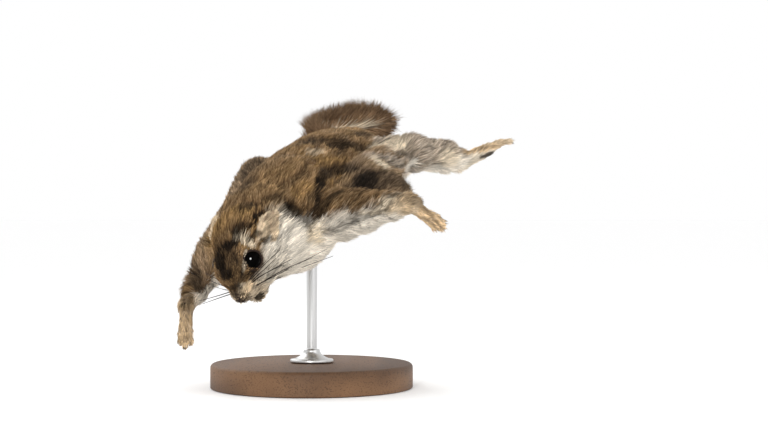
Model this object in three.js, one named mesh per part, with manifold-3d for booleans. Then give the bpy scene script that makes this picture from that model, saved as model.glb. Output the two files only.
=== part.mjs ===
// A flying squirrel caught in a leap, life size, in millimetres with +Z up. The animal is held by a
// rod on a flat base, and the origin is the middle of the base's underside.
import * as THREE from "three";
import { mergeVertices } from "three/addons/utils/BufferGeometryUtils.js";
import Module from "manifold-3d";

const wasm = await Module();
wasm.setup();

// Driving dimensions of an adult: bones between their joints, and the gap that touching parts keep
const spineLength = 73;
const neckLength = 44;
const humerusLength = 27.3;
const radiusLength = 28.5;
const handLength = 16.5;
const femurLength = 28;
const tibiaLength = 33;
const hindFootLength = 29.5;
const tailLength = 92;
const gap = 0.3;
const membraneThickness = 1.8;
const baseThickness = 10;
const baseHalfWidth = 42;
const baseHalfLength = 58;
const rodRadius = 2.2;
const rodLength = 56;
const collarRadius = 9;
const collarHeight = 5.5;

// A repeatable draw between 0 and 1
let drawn = 20;
const random = () => {
  drawn = (drawn * 16807) % 2147483647;
  return drawn / 2147483647;
};

// Vectors
const vector = (x, y, z) => new THREE.Vector3(x, y, z);
const step = (from, length, direction) =>
  from.clone().addScaledVector(direction.clone().normalize(), length);
const between = (a, b, share) => a.clone().lerp(b, share);

// A set of three axes at right angles: forward, to the animal's left and towards its back.
class Axes {
  constructor(origin, forward, dorsal) {
    this.origin = origin;
    this.forward = forward.clone().normalize();
    this.left = dorsal.clone().cross(this.forward).normalize();
    this.dorsal = this.forward.clone().cross(this.left);
  }

  at(forward, left, dorsal) {
    return this.origin
      .clone()
      .addScaledVector(this.forward, forward)
      .addScaledVector(this.left, left)
      .addScaledVector(this.dorsal, dorsal);
  }

  towards(forward, left, dorsal) {
    return this.at(forward, left, dorsal).sub(this.origin).normalize();
  }
}

// The pose, joint by joint
const chest = vector(-9.6, -35, 72.2);
const body = new Axes(chest, vector(-0.3, -0.925, -0.24), vector(-0.26, -0.15, 0.95));
const head = new Axes(
  step(chest, neckLength, vector(-0.32, -0.86, -0.39)),
  vector(-0.12, -0.3, -0.95),
  vector(-0.64, -0.77, 0),
);
const neckMiddle = between(chest, head.origin, 0.6).addScaledVector(body.dorsal, 3);

const leftArm = limb(vector(-0.1, -43, 69), [
  [humerusLength, vector(0.76, -0.62, 0.14)],
  [radiusLength, vector(0.67, -0.74, 0.1)],
  [handLength, vector(0.77, -0.25, -0.59)],
]);
const rightArm = limb(vector(-21.9, -29, 69.8), [
  [humerusLength, vector(-0.62, 0.24, -0.7)],
  [radiusLength, vector(-0.31, -0.79, -0.52)],
  [handLength, vector(0.0, -0.23, -0.97)],
]);
const leftLeg = limb(vector(20.5, 33, 91.7), [
  [femurLength, vector(0.73, -0.64, 0.2)],
  [tibiaLength, vector(0.64, 0.76, -0.04)],
  [hindFootLength, vector(0.8, 0.51, 0.28)],
]);
const rightLeg = limb(vector(6, 40, 86), [
  [femurLength, vector(-0.86, -0.1, 0.02)],
  [tibiaLength, vector(0.12, 0.98, 0.13)],
  [hindFootLength, vector(0.13, 0.99, 0.11)],
]);
const pelvisReach = 22; // from the hips back to the root of the tail
const tailRoot = body.at(-spineLength - pelvisReach, 0, 4);
const tailPath = new THREE.CatmullRomCurve3(
  limb(tailRoot, [
    [0.28 * tailLength, vector(-0.68, 0.71, 0.13)],
    [0.22 * tailLength, vector(0.12, 0.96, 0.24)],
    [0.24 * tailLength, vector(0.62, 0.76, 0.2)],
    [0.2 * tailLength, vector(0.76, 0.63, 0.17)],
  ]),
);

function limb(root, bones) {
  const joints = [root];
  for (const [length, direction] of bones) joints.push(step(joints.at(-1), length, direction));
  return joints;
}

// Forms. Each is a function that gives a point's distance from a surface, less than zero inside it.

// A rounded mass of flesh and fur with a half length, half width and half height along three axes.
function mass(axes, [forward, left, dorsal], [length, width, height]) {
  const centre = axes.at(forward, left, dorsal);
  return (point) => {
    const offset = point.clone().sub(centre);
    const x = offset.dot(axes.forward);
    const y = offset.dot(axes.left);
    const z = offset.dot(axes.dorsal);
    const reach = Math.hypot(x / length, y / width, z / height);
    const slope = Math.hypot(x / length ** 2, y / width ** 2, z / height ** 2);
    return slope > 0 ? (reach * (reach - 1)) / slope : -Math.min(length, width, height);
  };
}

// A tapering round length from one point to another.
function shaft(from, to, firstRadius, lastRadius) {
  const along = to.clone().sub(from);
  const square = along.lengthSq();
  return (point) => {
    const share = THREE.MathUtils.clamp(point.clone().sub(from).dot(along) / square, 0, 1);
    const nearest = from.clone().addScaledVector(along, share);
    return point.distanceTo(nearest) - THREE.MathUtils.lerp(firstRadius, lastRadius, share);
  };
}

// Several forms run together, with creases rounded over the given distance.
function blend(forms, softness) {
  return (point) =>
    forms
      .map((form) => form(point))
      .reduce((nearest, distance) => {
        const share = THREE.MathUtils.clamp(0.5 + (0.5 * (distance - nearest)) / softness, 0, 1);
        return THREE.MathUtils.lerp(distance, nearest, share) - softness * share * (1 - share);
      });
}

// A closed surface that a form shows along an axis from one inner point to another.
function wrap(form, from, to, { sides = 16, rings = 12, grown = 0, up = vector(0, 0, 1) } = {}) {
  const geometry = new THREE.SphereGeometry(1, sides, rings);
  const along = to.clone().sub(from).normalize();
  const side = along.clone().cross(up).normalize();
  const top = side.clone().cross(along);
  const position = geometry.getAttribute("position");
  for (let i = 0; i < position.count; i += 1) {
    const origin = between(from, to, (1 + position.getY(i)) / 2);
    const ray = vector(0, 0, 0)
      .addScaledVector(side, position.getX(i))
      .addScaledVector(along, position.getY(i))
      .addScaledVector(top, position.getZ(i))
      .normalize();
    const found = surfacePoint(form, origin, ray, grown);
    position.setXYZ(i, found.x, found.y, found.z);
  }
  return solid(geometry);
}

// The first point along a ray, from an origin inside a form, at the form's surface.
function surfacePoint(form, origin, ray, grown) {
  const stride = 0.5;
  const at = (distance) => origin.clone().addScaledVector(ray, distance);
  let inside = 0;
  while (form(at(inside + stride)) < grown) inside += stride;
  let outside = inside + stride;
  for (let i = 0; i < 12; i += 1) {
    const middle = (inside + outside) / 2;
    if (form(at(middle)) < grown) inside = middle;
    else outside = middle;
  }
  return at(inside);
}

// A tapering, flattened length along a curve. halfWidth and halfHeight are functions of the share of
// the curve's length, and blunt says how square its two ends are.
function loft(curve, halfWidth, halfHeight, { sides = 8, rings = 8, blunt = 4, up }) {
  const geometry = new THREE.SphereGeometry(1, sides, rings);
  const position = geometry.getAttribute("position");
  for (let i = 0; i < position.count; i += 1) {
    const share = (1 + position.getY(i)) / 2;
    const centre = curve.getPointAt(share);
    const along = curve.getTangentAt(share);
    const side = along.clone().cross(up).normalize();
    const top = side.clone().cross(along);
    const round = Math.hypot(position.getX(i), position.getZ(i));
    const ending = (1 - Math.abs(2 * share - 1) ** blunt) ** (1 / blunt);
    const scale = round > 1e-6 ? ending / round : 0;
    centre.addScaledVector(side, position.getX(i) * scale * halfWidth(share));
    centre.addScaledVector(top, position.getZ(i) * scale * halfHeight(share));
    position.setXYZ(i, centre.x, centre.y, centre.z);
  }
  return solid(geometry);
}

// A thin sheet: surface(u, v) gives its middle, thickness(u, v) how thick it is. Both faces are split
// into triangles alike.
function sheet(surface, thickness, columns, rows) {
  const plane = new THREE.PlaneGeometry(1, 1, columns, rows);
  const grid = plane.getAttribute("position");
  const faces = plane.getIndex().array;
  const count = grid.count;
  const points = new Float32Array(count * 6);
  const nudge = 1e-3;
  for (let i = 0; i < count; i += 1) {
    const u = grid.getX(i) + 0.5;
    const v = grid.getY(i) + 0.5;
    const alongU = surface(u + nudge, v).sub(surface(u - nudge, v));
    const alongV = surface(u, v + nudge).sub(surface(u, v - nudge));
    const normal = alongU.cross(alongV).normalize();
    const half = thickness(u, v) / 2;
    const middle = surface(u, v);
    middle.clone().addScaledVector(normal, half).toArray(points, 3 * i);
    middle.clone().addScaledVector(normal, -half).toArray(points, 3 * (i + count));
  }
  const triangles = [...faces];
  for (let i = 0; i < faces.length; i += 3) {
    const [a, b, c] = faces.slice(i, i + 3);
    triangles.push(a + count, c + count, b + count);
  }
  for (const [a, b] of rim(columns, rows)) triangles.push(a, a + count, b, b, a + count, b + count);
  const geometry = new THREE.BufferGeometry();
  geometry.setAttribute("position", new THREE.BufferAttribute(points, 3));
  geometry.setIndex(triangles);
  return solid(geometry);
}

// The edges round a grid of vertices, in the order that turns their walls outwards.
function rim(columns, rows) {
  const at = (column, row) => row * (columns + 1) + column;
  const edges = [];
  for (let c = 0; c < columns; c += 1) {
    edges.push([at(c + 1, 0), at(c, 0)]);
    edges.push([at(c, rows), at(c + 1, rows)]);
  }
  for (let r = 0; r < rows; r += 1) {
    edges.push([at(0, r), at(0, r + 1)]);
    edges.push([at(columns, r + 1), at(columns, r)]);
  }
  return edges;
}

// Solids

function solid(geometry) {
  geometry.deleteAttribute("normal");
  geometry.deleteAttribute("uv");
  const merged = mergeVertices(geometry, 1e-4);
  return new wasm.Manifold(
    new wasm.Mesh({
      numProp: 3,
      vertProperties: new Float32Array(merged.getAttribute("position").array),
      triVerts: new Uint32Array(merged.getIndex().array),
    }),
  );
}

const join = (pieces) => pieces.reduce((whole, piece) => whole.add(piece));
const cut = (whole, tools) => tools.reduce((rest, tool) => rest.subtract(tool), whole);
const larger = (one, other) => (other.volume() > one.volume() ? other : one);
const largest = (whole) => whole.decompose().reduce(larger);

// The torso: rib cage, belly and haunches run together
const torsoForm = blend(
  [
    mass(body, [0, 0, -1], [24, 21, 21]),
    mass(body, [5, 6, -8], [14, 12, 12]),
    mass(body, [-19, 0, 1], [25, 20.5, 20.2]),
    mass(body, [-38, 0, 2.5], [32, 20, 19.5]),
    mass(body, [-56, 0, 1.5], [25, 20, 18.8]),
    mass(body, [-spineLength, 0, 0], [23, 20, 18]),
    mass(body, [-spineLength - 14, 0, 2], [16, 13, 13]),
  ],
  10,
);
const torso = (grown = 0) =>
  wrap(torsoForm, body.at(6, 0, 0), body.at(-spineLength - 12, 0, 0), {
    sides: 24,
    rings: 22,
    grown,
    up: body.dorsal,
  });

// The head, in millimetres forward, to the side and towards the crown from its middle
const eyeRadius = 4;
const eyeCentre = (side) => head.at(2.6, side * 7.4, 3.4);
const headForm = blend(
  [
    mass(head, [-5, 0, 0.5], [14.5, 13, 12.5]),
    mass(head, [5, 0, 3.2], [8.6, 9.7, 7]),
    mass(head, [0.5, 6, -4.5], [10.5, 6.6, 7.4]),
    mass(head, [0.5, -6, -4.5], [10.5, 6.6, 7.4]),
    mass(head, [8, 0, -1], [8, 6, 5.5]),
    mass(head, [10.9, 2.5, -3.2], [4.4, 3.2, 3.2]),
    mass(head, [10.9, -2.5, -3.2], [4.4, 3.2, 3.2]),
    mass(head, [14.8, 0, -1.4], [2.4, 2.3, 2.1]),
    mass(head, [8.2, 0, -9.2], [6.7, 4.8, 4.1]),
  ],
  3,
);
const headSolid = (grown = 0) =>
  wrap(headForm, head.at(-6, 0, 0), head.at(9, 0, -3), {
    sides: 28,
    rings: 24,
    grown,
    up: head.dorsal,
  });

// The neck runs from the rib cage up to the skull, loose skinned under the throat
const neckForm = blend(
  [
    shaft(chest, neckMiddle, 19, 17),
    shaft(neckMiddle, head.at(-8, 0, 0), 16.5, 12),
    shaft(body.at(11, 3, -9), head.at(-3, 2, -8), 13, 10),
  ],
  6,
);
const neck = (grown = 0) =>
  wrap(neckForm, between(chest, neckMiddle, 0.4), head.at(-8, 0, 0), {
    sides: 20,
    rings: 10,
    grown,
    up: body.dorsal,
  });

// A lid's rim stands round each eye, the mouth is a slit above the chin, and two incisors show in it
function lidRim(side) {
  const outwards = head.towards(0.1, side, 0.42);
  const ring = new THREE.TorusGeometry(eyeRadius * 0.93, 0.75, 5, 18);
  ring.applyQuaternion(new THREE.Quaternion().setFromUnitVectors(vector(0, 0, 1), outwards));
  const centre = eyeCentre(side).addScaledVector(outwards, eyeRadius * 0.36);
  return solid(ring.translate(centre.x, centre.y, centre.z));
}

function incisor(side) {
  const apart = side * 0.6;
  const path = new THREE.CatmullRomCurve3([
    head.at(12.1, apart, -3.1),
    head.at(13.1, apart, -5.3),
    head.at(12.7, apart, -7.2),
  ]);
  const width = () => 0.5;
  const thickness = (share) => 0.55 - 0.2 * share;
  return loft(path, width, thickness, { sides: 6, rings: 6, up: head.forward });
}

function wholeHead() {
  const slit = mass(head, [11.1, 0, -6.5], [5.4, 4.6, 0.75]);
  const mouth = wrap(slit, head.at(8.5, 0, -6.5), head.at(13.5, 0, -6.5), {
    sides: 16,
    rings: 8,
    up: head.dorsal,
  });
  const nostrils = [1, -1].map((side) => ball(head.at(16.4, side * 1.25, -1), 0.75, 8, 6));
  const sockets = [1, -1].map((side) => ball(eyeCentre(side), eyeRadius + gap));
  const lids = [1, -1].map(lidRim);
  const teeth = [1, -1].map(incisor);
  const skull = cut(join([headSolid(), ...lids]), [mouth, ...nostrils, ...sockets]);
  return join([skull, ...teeth]);
}

const ball = (centre, radius, sides = 16, rings = 12) =>
  solid(new THREE.SphereGeometry(radius, sides, rings).translate(centre.x, centre.y, centre.z));

// An ear is a cup laid back along the neck; flare is how far its tip stands off to the side
function ear(side, flare) {
  const root = head.at(-8, side * 10.6, 2);
  const onward = head.towards(-0.93, side * flare, 0.1);
  const cup = new Axes(root, onward, head.towards(0.3, side * 0.95, 0.05));
  const outer = mass(cup, [3.8, 0, 0.9], [6.8, 4.7, 2.4]);
  const inner = mass(cup, [4.8, 0, 2.8], [5.6, 3.6, 2.4]);
  const around = { sides: 16, rings: 10, up: cup.dorsal };
  const whole = wrap(outer, cup.at(0, 0, 0.9), cup.at(8, 0, 0.9), around);
  const hollow = wrap(inner, cup.at(1.5, 0, 2.8), cup.at(8, 0, 2.8), around);
  return whole.subtract(hollow);
}

// Limbs. A bone's flesh has a radius at its root, at a share of its length and at its far end.
const bone = (joints, index, [first, bulge, last], share = 0.6) => {
  const [from, to] = [joints[index], joints[index + 1]];
  const middle = between(from, to, share);
  const form = blend([shaft(from, middle, first, bulge), shaft(middle, to, bulge, last)], 2);
  return (grown = 0) => wrap(form, from, to, { sides: 12, rings: 11, grown });
};

// A hand or foot with its digits and claws: palm is half its width, heel how deep its heel hangs, and
// up the side away from its sole
function paw(joints, digits, palm, digitLength, heel, up) {
  const [wrist, tip] = [joints.at(-2), joints.at(-1)];
  const frame = new Axes(wrist, tip.clone().sub(wrist), up);
  const palmLength = wrist.distanceTo(tip) - digitLength;
  const middle = new THREE.CatmullRomCurve3([
    frame.at(-2, 0, -heel),
    frame.at(palmLength / 2, 0, -heel / 2),
    frame.at(palmLength + 1, 0, 0),
  ]);
  const width = (share) => palm * (0.72 + 0.28 * share);
  const thickness = (share) => palm * (0.74 - 0.16 * share) + heel * (1 - share);
  const pieces = [loft(middle, width, thickness, { sides: 10, rings: 8, blunt: 5, up: frame.dorsal })];
  for (let i = 0; i < digits; i += 1) {
    const spread = (2 * i) / (digits - 1) - 1;
    const reach = digitLength * (1 - 0.2 * spread ** 2);
    const path = new THREE.CatmullRomCurve3([
      frame.at(palmLength - 3, spread * palm * 0.6, 0),
      frame.at(palmLength + reach * 0.4, spread * palm * 0.82, 0.7),
      frame.at(palmLength + reach * 0.84, spread * palm * 0.88, -0.2),
      frame.at(palmLength + reach, spread * palm * 0.88, -1.2),
    ]);
    const girth = (share) => 1.05 - 0.75 * THREE.MathUtils.smoothstep(share, 0.76, 0.95);
    pieces.push(loft(path, girth, girth, { sides: 6, rings: 7, blunt: 6, up: frame.dorsal }));
  }
  return join(pieces);
}

// The gliding membrane between the flank and its free edge, which runs from the wrist to the ankle
function membrane(flank, edge, billow) {
  const inner = new THREE.CatmullRomCurve3(flank);
  const outer = new THREE.CatmullRomCurve3(edge);
  const surface = (u, v) => {
    const run = THREE.MathUtils.clamp(u, 0, 1);
    const point = between(inner.getPoint(run), outer.getPoint(run), v);
    const rise = billow * Math.sin(Math.PI * u) * Math.sin(Math.PI * v);
    return point.addScaledVector(body.dorsal, rise);
  };
  const thickness = (u, v) => membraneThickness * (1 - 0.5 * v * v);
  return sheet(surface, thickness, 20, 8);
}

const [leftShoulder, leftElbow, leftWrist] = leftArm;
const [leftHip, leftKnee, leftAnkle] = leftLeg;
const [rightShoulder, rightElbow, rightWrist] = rightArm;
const [rightHip, rightKnee, rightAnkle] = rightLeg;

const leftMembrane = membrane(
  [
    between(leftShoulder, leftElbow, 0.2),
    body.at(-24, 14, 2),
    body.at(-48, 14, 2),
    between(leftHip, leftKnee, 0.2),
  ],
  [
    between(leftElbow, leftWrist, 0.88),
    vector(38.8, -57, 80),
    vector(35.5, -20, 86.8),
    between(leftKnee, leftAnkle, 0.25),
    between(leftKnee, leftAnkle, 0.8),
  ],
  8,
);
const rightMembrane = membrane(
  [
    between(rightShoulder, rightElbow, 0.2),
    body.at(-24, -14, 2),
    body.at(-48, -14, 2),
    between(rightHip, rightKnee, 0.2),
  ],
  [
    between(rightElbow, rightWrist, 0.9),
    vector(-46, -27, 53),
    vector(-36, 0, 74),
    vector(-28, 22, 92),
    between(rightKnee, rightAnkle, 0.4),
    between(rightKnee, rightAnkle, 0.85),
  ],
  6,
);

// The tail: a flat brush that turns on its side beyond its root. Its core reaches less than half way to
// the tips of its hair, which stands out to both sides and past the end as flat, bent locks.
const tailSide = vector(1, -0.2, 0.1);
const eased = (share, low, high) => THREE.MathUtils.smoothstep(share, low, high);
const hairReach = (share) => 10 + 4.2 * eased(share, 0.02, 0.3) - 1.2 * eased(share, 0.7, 1);
const hairLean = (share) => 0.7 * eased(share, 0, 0.35) - 0.4 + 0.85 * eased(share, 0.82, 1);
const coreHalfWidth = (share) => 0.45 * hairReach(share);
const coreHalfHeight = (share) => 3.4 - 1.6 * share;

function lock(share, edge, tier) {
  const centre = tailPath.getPointAt(share);
  const along = tailPath.getTangentAt(share);
  const across = along.clone().cross(tailSide).normalize().multiplyScalar(edge);
  const face = across.clone().cross(along).multiplyScalar(edge);
  const reach = hairReach(share) * (tier ? 0.78 : 1) * (0.94 + 0.12 * random());
  const lean = hairLean(share) + 0.1 * (random() - 0.5);
  const lift = (tier ? 1.5 : 0.15 * (random() - 0.5)) * (tier || 1);
  const [cosine, sine] = [Math.cos(lean), Math.sin(lean)];
  const outwards = across.clone().multiplyScalar(cosine).addScaledVector(along, sine);
  const backwards = across.clone().multiplyScalar(-sine).addScaledVector(along, cosine);
  const point = (distance, bend, height) =>
    centre
      .clone()
      .addScaledVector(outwards, distance)
      .addScaledVector(backwards, bend)
      .addScaledVector(face, height);
  const path = new THREE.CatmullRomCurve3([
    point(0.5, 0, lift * 0.3),
    point(0.5 * reach, 0.4, lift * 0.85),
    point(0.8 * reach, 1.3, lift * 0.8),
    point(reach, 2.6, lift * 0.4),
  ]);
  const width = (position) => 4 * (1 - position ** 2) + 0.35;
  const thickness = (position) => 0.7 - 0.35 * position;
  return loft(path, width, thickness, { sides: 4, rings: tier ? 4 : 5, blunt: 6, up: face });
}

function tailBrush() {
  const locks = [];
  const steps = 15;
  for (const edge of [1, -1]) {
    for (let i = 0; i <= steps; i += 1) {
      const share = THREE.MathUtils.lerp(0.06, 0.985, i / steps);
      locks.push(lock(share, edge, 0));
      locks.push(lock(share + 0.01, edge, i % 2 === 0 ? 1 : -1));
    }
  }
  const around = { sides: 12, rings: 16, blunt: 5, up: tailSide };
  const core = loft(tailPath, coreHalfWidth, coreHalfHeight, around);
  return join([core, ...locks]);
}

// The stand: a flat oval base and one rod up to the chest
function base() {
  const profile = [
    new THREE.Vector2(0, 0),
    new THREE.Vector2(1, 0),
    new THREE.Vector2(1, 0.7),
    new THREE.Vector2(0.96, 1),
    new THREE.Vector2(0, 1),
  ];
  const plate = new THREE.LatheGeometry(profile, 48);
  plate.rotateX(Math.PI / 2);
  plate.scale(baseHalfWidth, baseHalfLength, baseThickness);
  return solid(plate);
}

function collar() {
  const shaftRadius = rodRadius + 1.2;
  const profile = [
    [0, 0],
    [collarRadius, 0],
    [collarRadius, 0.22 * collarHeight],
    [0.83 * collarRadius, 0.4 * collarHeight],
    [shaftRadius + 0.6, 0.51 * collarHeight],
    [shaftRadius, collarHeight],
    [0, collarHeight],
  ].map(([radius, height]) => new THREE.Vector2(radius, height));
  const turned = new THREE.LatheGeometry(profile, 32);
  turned.rotateX(Math.PI / 2);
  turned.translate(0, 0, baseThickness + gap);
  return solid(turned);
}

function rod() {
  const foot = baseThickness + gap + collarHeight + gap;
  const cylinder = new THREE.CylinderGeometry(rodRadius, rodRadius, rodLength, 20);
  cylinder.rotateX(Math.PI / 2);
  cylinder.translate(0, 0, foot + rodLength / 2);
  return solid(cylinder);
}

// Materials
const fur = new THREE.MeshStandardMaterial({ color: 0x8a6a45, roughness: 0.9 });
const eyeGloss = new THREE.MeshStandardMaterial({ color: 0x080606, roughness: 0.1 });
const skin = new THREE.MeshStandardMaterial({ color: 0xa9805c, roughness: 0.7 });
const wood = new THREE.MeshStandardMaterial({ color: 0x6b4a30, roughness: 0.5 });
const steel = new THREE.MeshStandardMaterial({ color: 0xb8b8b8, roughness: 0.3, metalness: 1 });

const squirrel = new THREE.Group();

function place(name, whole, material) {
  const { numProp, vertProperties, triVerts, numVert } = largest(whole).getMesh();
  const points = new Float32Array(numVert * 3);
  for (let i = 0; i < numVert; i += 1) {
    points.set(vertProperties.subarray(i * numProp, i * numProp + 3), i * 3);
  }
  const geometry = new THREE.BufferGeometry();
  geometry.setAttribute("position", new THREE.BufferAttribute(points, 3));
  geometry.setIndex(new THREE.BufferAttribute(triVerts, 1));
  const mesh = new THREE.Mesh(geometry, material);
  mesh.name = name;
  squirrel.add(mesh);
}

place("torso", torso(), fur);
place("head", cut(wholeHead(), [torso(gap)]), fur);
place("neck", cut(neck(), [torso(gap), headSolid(gap)]), fur);
place("eye_left", ball(eyeCentre(1), eyeRadius), eyeGloss);
place("eye_right", ball(eyeCentre(-1), eyeRadius), eyeGloss);
place("ear_left", cut(ear(1, 0.42), [headSolid(gap), neck(gap), torso(gap)]), skin);
place("ear_right", cut(ear(-1, 0.36), [headSolid(gap), neck(gap), torso(gap)]), skin);

for (const [side, arm, leg, sheetSolid] of [
  ["left", leftArm, leftLeg, leftMembrane],
  ["right", rightArm, rightLeg, rightMembrane],
]) {
  const upperArm = bone(arm, 0, side === "left" ? [11, 10, 8.5] : [9.5, 8, 6.4]);
  const forearm = bone(arm, 1, side === "left" ? [7.6, 5.2, 3.6] : [5.4, 4.2, 2.6]);
  const thigh = bone(leg, 0, [11, 9.3, 7.3]);
  const shank = bone(leg, 1, [7.4, 6.9, 4.6], 0.66);
  const trunk = [torso(gap), neck(gap)];
  place("upper_arm_" + side, cut(upperArm(), trunk), fur);
  place("forearm_" + side, cut(forearm(), [upperArm(gap), ...trunk]), fur);
  const hand = paw(arm, 4, 2.5, 8.5, 0, vector(-0.2, -0.6, 0.75));
  const foot = paw(leg, 5, 3.2, 10, 1.6, vector(0, 0, 1));
  place("hand_" + side, cut(hand, [forearm(gap)]), skin);
  place("thigh_" + side, cut(thigh(), trunk), fur);
  place("shank_" + side, cut(shank(), [thigh(gap), ...trunk]), fur);
  place("foot_" + side, cut(foot, [shank(gap)]), skin);
  const limbs = [upperArm(gap), forearm(gap), thigh(gap), shank(gap)];
  place("patagium_" + side, cut(sheetSolid, [...trunk, ...limbs]), fur);
}
place("tail", cut(tailBrush(), [torso(gap)]), fur);
place("stand_base", base(), wood);
place("stand_collar", collar(), steel);
place("stand_rod", cut(rod(), [torso(gap)]), steel);

export default squirrel;
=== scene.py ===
"""Dresses the leaping flying squirrel: its skin, the coat of hair, eyes, claws, whiskers and stand.

Lengths and places are in millimetres, in the frame of the solids, and become metres in each mesh.
"""

from __future__ import annotations

import itertools
import logging
import math
from dataclasses import dataclass, field
from enum import Enum
from typing import Any, Sequence

import bpy
import numpy as np
import openvdb
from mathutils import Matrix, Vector
from mathutils.bvhtree import BVHTree

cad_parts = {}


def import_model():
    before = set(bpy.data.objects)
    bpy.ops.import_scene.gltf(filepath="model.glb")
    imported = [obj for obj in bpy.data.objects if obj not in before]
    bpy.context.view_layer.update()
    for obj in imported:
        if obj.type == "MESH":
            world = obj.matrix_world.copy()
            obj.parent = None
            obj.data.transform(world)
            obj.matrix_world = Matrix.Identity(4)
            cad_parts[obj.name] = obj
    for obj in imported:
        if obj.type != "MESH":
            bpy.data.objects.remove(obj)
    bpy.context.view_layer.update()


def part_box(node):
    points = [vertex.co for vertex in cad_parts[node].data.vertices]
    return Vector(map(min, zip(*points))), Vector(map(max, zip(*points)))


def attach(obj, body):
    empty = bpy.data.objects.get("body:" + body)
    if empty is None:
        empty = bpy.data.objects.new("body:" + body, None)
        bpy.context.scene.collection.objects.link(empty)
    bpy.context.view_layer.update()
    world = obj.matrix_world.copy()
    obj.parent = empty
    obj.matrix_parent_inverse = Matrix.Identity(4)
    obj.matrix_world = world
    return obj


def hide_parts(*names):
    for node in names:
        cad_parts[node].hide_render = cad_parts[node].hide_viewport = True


LOG = logging.getLogger("squirrel")
METRE = 0.001
Vec = np.ndarray
Mesh = tuple[Vec, Vec]
Box = tuple[Vec, Vec]
Colour = tuple[float, float, float]
Profile = list[tuple[float, float]]
Piece = bpy.types.Object
Material = bpy.types.Material
UP = np.array((0.0, 0.0, 1.0))


def vec(x: float, y: float, z: float) -> Vec:
    """Returns a vector."""
    return np.array((x, y, z), float)


def fixed(x: float, y: float, z: float) -> Any:
    """Returns a class's field that holds a vector."""
    return field(default_factory=lambda: vec(x, y, z))


def unit(vectors: Vec) -> Vec:
    """Returns vectors of length one with the same directions."""
    return vectors / np.maximum(np.linalg.norm(vectors, axis=-1, keepdims=True), 1e-9)


def step(start: Vec, length: float, direction: Vec) -> Vec:
    """Returns the point a length away from a start."""
    return start + length * unit(direction)


def offsets(places: Sequence[Vec], origin: Vec) -> list[Vec]:
    """Returns three coordinates counted from an origin."""
    return [place - start for place, start in zip(places, origin)]


def between(first: Vec, last: Vec, share: float) -> Vec:
    """Returns the point at a share of the way from first to last."""
    return first + (last - first) * share


def ease(values: Any, low: float, high: float) -> Any:
    """Returns a smooth step from 0 at low to 1 at high, which may be the smaller."""
    share = np.clip((values - low) / (high - low), 0, 1)
    return share * share * (3 - 2 * share)


def soft_least(near: Vec, far: Vec, softness: float) -> Vec:
    """Joins two fields of distance.

    Args:
        near: One field.
        far: The other.
        softness: The distance over which their crease is rounded.

    Returns:
        The joined field.
    """
    share = np.clip(0.5 + 0.5 * (far - near) / softness, 0, 1)
    return far + (near - far) * share - softness * share * (1 - share)


def apart(points: Vec, place: Vec) -> Vec:
    """Returns each point's distance from a place."""
    return np.linalg.norm(points - place, axis=1)


def nearest(points: Vec, line: Vec) -> Vec:
    """Finds which point of a line is nearest.

    Args:
        points: The points that it is found for.
        line: The points of the line.

    Returns:
        The index on the line for each point.
    """
    found = [np.zeros(0, int)]
    for start in range(0, len(points), 20000):
        chunk = points[start : start + 20000]
        found.append(((chunk[:, None] - line[None]) ** 2).sum(2).argmin(1))
    return np.concatenate(found)


def spread_of(points: Vec) -> tuple[Vec, Vec]:
    """Returns points from their middle, and the ways in which they spread, the least first."""
    spread = points - points.mean(0)
    return spread, np.linalg.eigh(spread.T @ spread)[1]


def chance(cells: Vec, seed: int) -> Vec:
    """Draws a repeatable number for each cell.

    Args:
        cells: The whole numbers of each cell.
        seed: Which draw it is.

    Returns:
        Numbers from 0 to 1.
    """
    mixed = cells[..., 0] * 73856093 ^ cells[..., 1] * 19349663
    mixed = mixed ^ cells[..., 2] * 83492791 ^ seed * 2654435761
    mixed = (mixed ^ (mixed >> 13)) * 1274126177
    mixed = (mixed ^ (mixed >> 16)) * 668265263
    return ((mixed >> 7) & 0xFFFFFF) / 0x1000000


def noise(points: Vec, size: float, seed: int) -> Vec:
    """Returns smooth noise between -1 and 1.

    Args:
        points: Where it is read.
        size: The width of its lumps.
        seed: Which noise it is.

    Returns:
        A value for each point.
    """
    scaled = points / size
    cell = np.floor(scaled).astype(np.int64)
    part = scaled - cell
    eased = part * part * (3 - 2 * part)
    total = np.zeros(len(points))
    for corner in itertools.product((0, 1), repeat=3):
        weight = np.prod(np.where(np.array(corner), eased, 1 - eased), axis=1)
        total += weight * chance(cell + np.array(corner), seed)
    return 2 * total - 1


def streaks(points: Vec, lie: Vec, size: float, reach: float, seed: int) -> Vec:
    """Returns streaks drawn out along the lie of the hair.

    Args:
        points: Where they are read.
        lie: The way the hair points there.
        size: How wide a streak is.
        reach: Half its length.
        seed: Which streaks they are.

    Returns:
        Values from 0 to 1.
    """
    total = sum(noise(points + lie * shift, size, seed) for shift in np.linspace(-reach, reach, 7))
    return np.clip(0.5 + 0.28 * total / max(total.std(), 1e-6), 0, 1)


def nearest_knots(points: Vec, size: float, seed: int) -> Vec:
    """Finds the nearest of a scatter of knots.

    Args:
        points: The points that it is found for.
        size: How far apart the knots are, about.
        seed: Which scatter it is.

    Returns:
        The nearest knot to each point.
    """
    cell = np.floor(points / size).astype(np.int64)
    best = np.full(len(points), np.inf)
    found = np.zeros_like(points)
    for corner in itertools.product((-1, 0, 1), repeat=3):
        near = cell + np.array(corner)
        jitter = np.stack([chance(near, seed + k) for k in range(3)], axis=1)
        knot = (near + jitter) * size
        gap = ((knot - points) ** 2).sum(1)
        closer = gap < best
        best[closer] = gap[closer]
        found[closer] = knot[closer]
    return found


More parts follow.
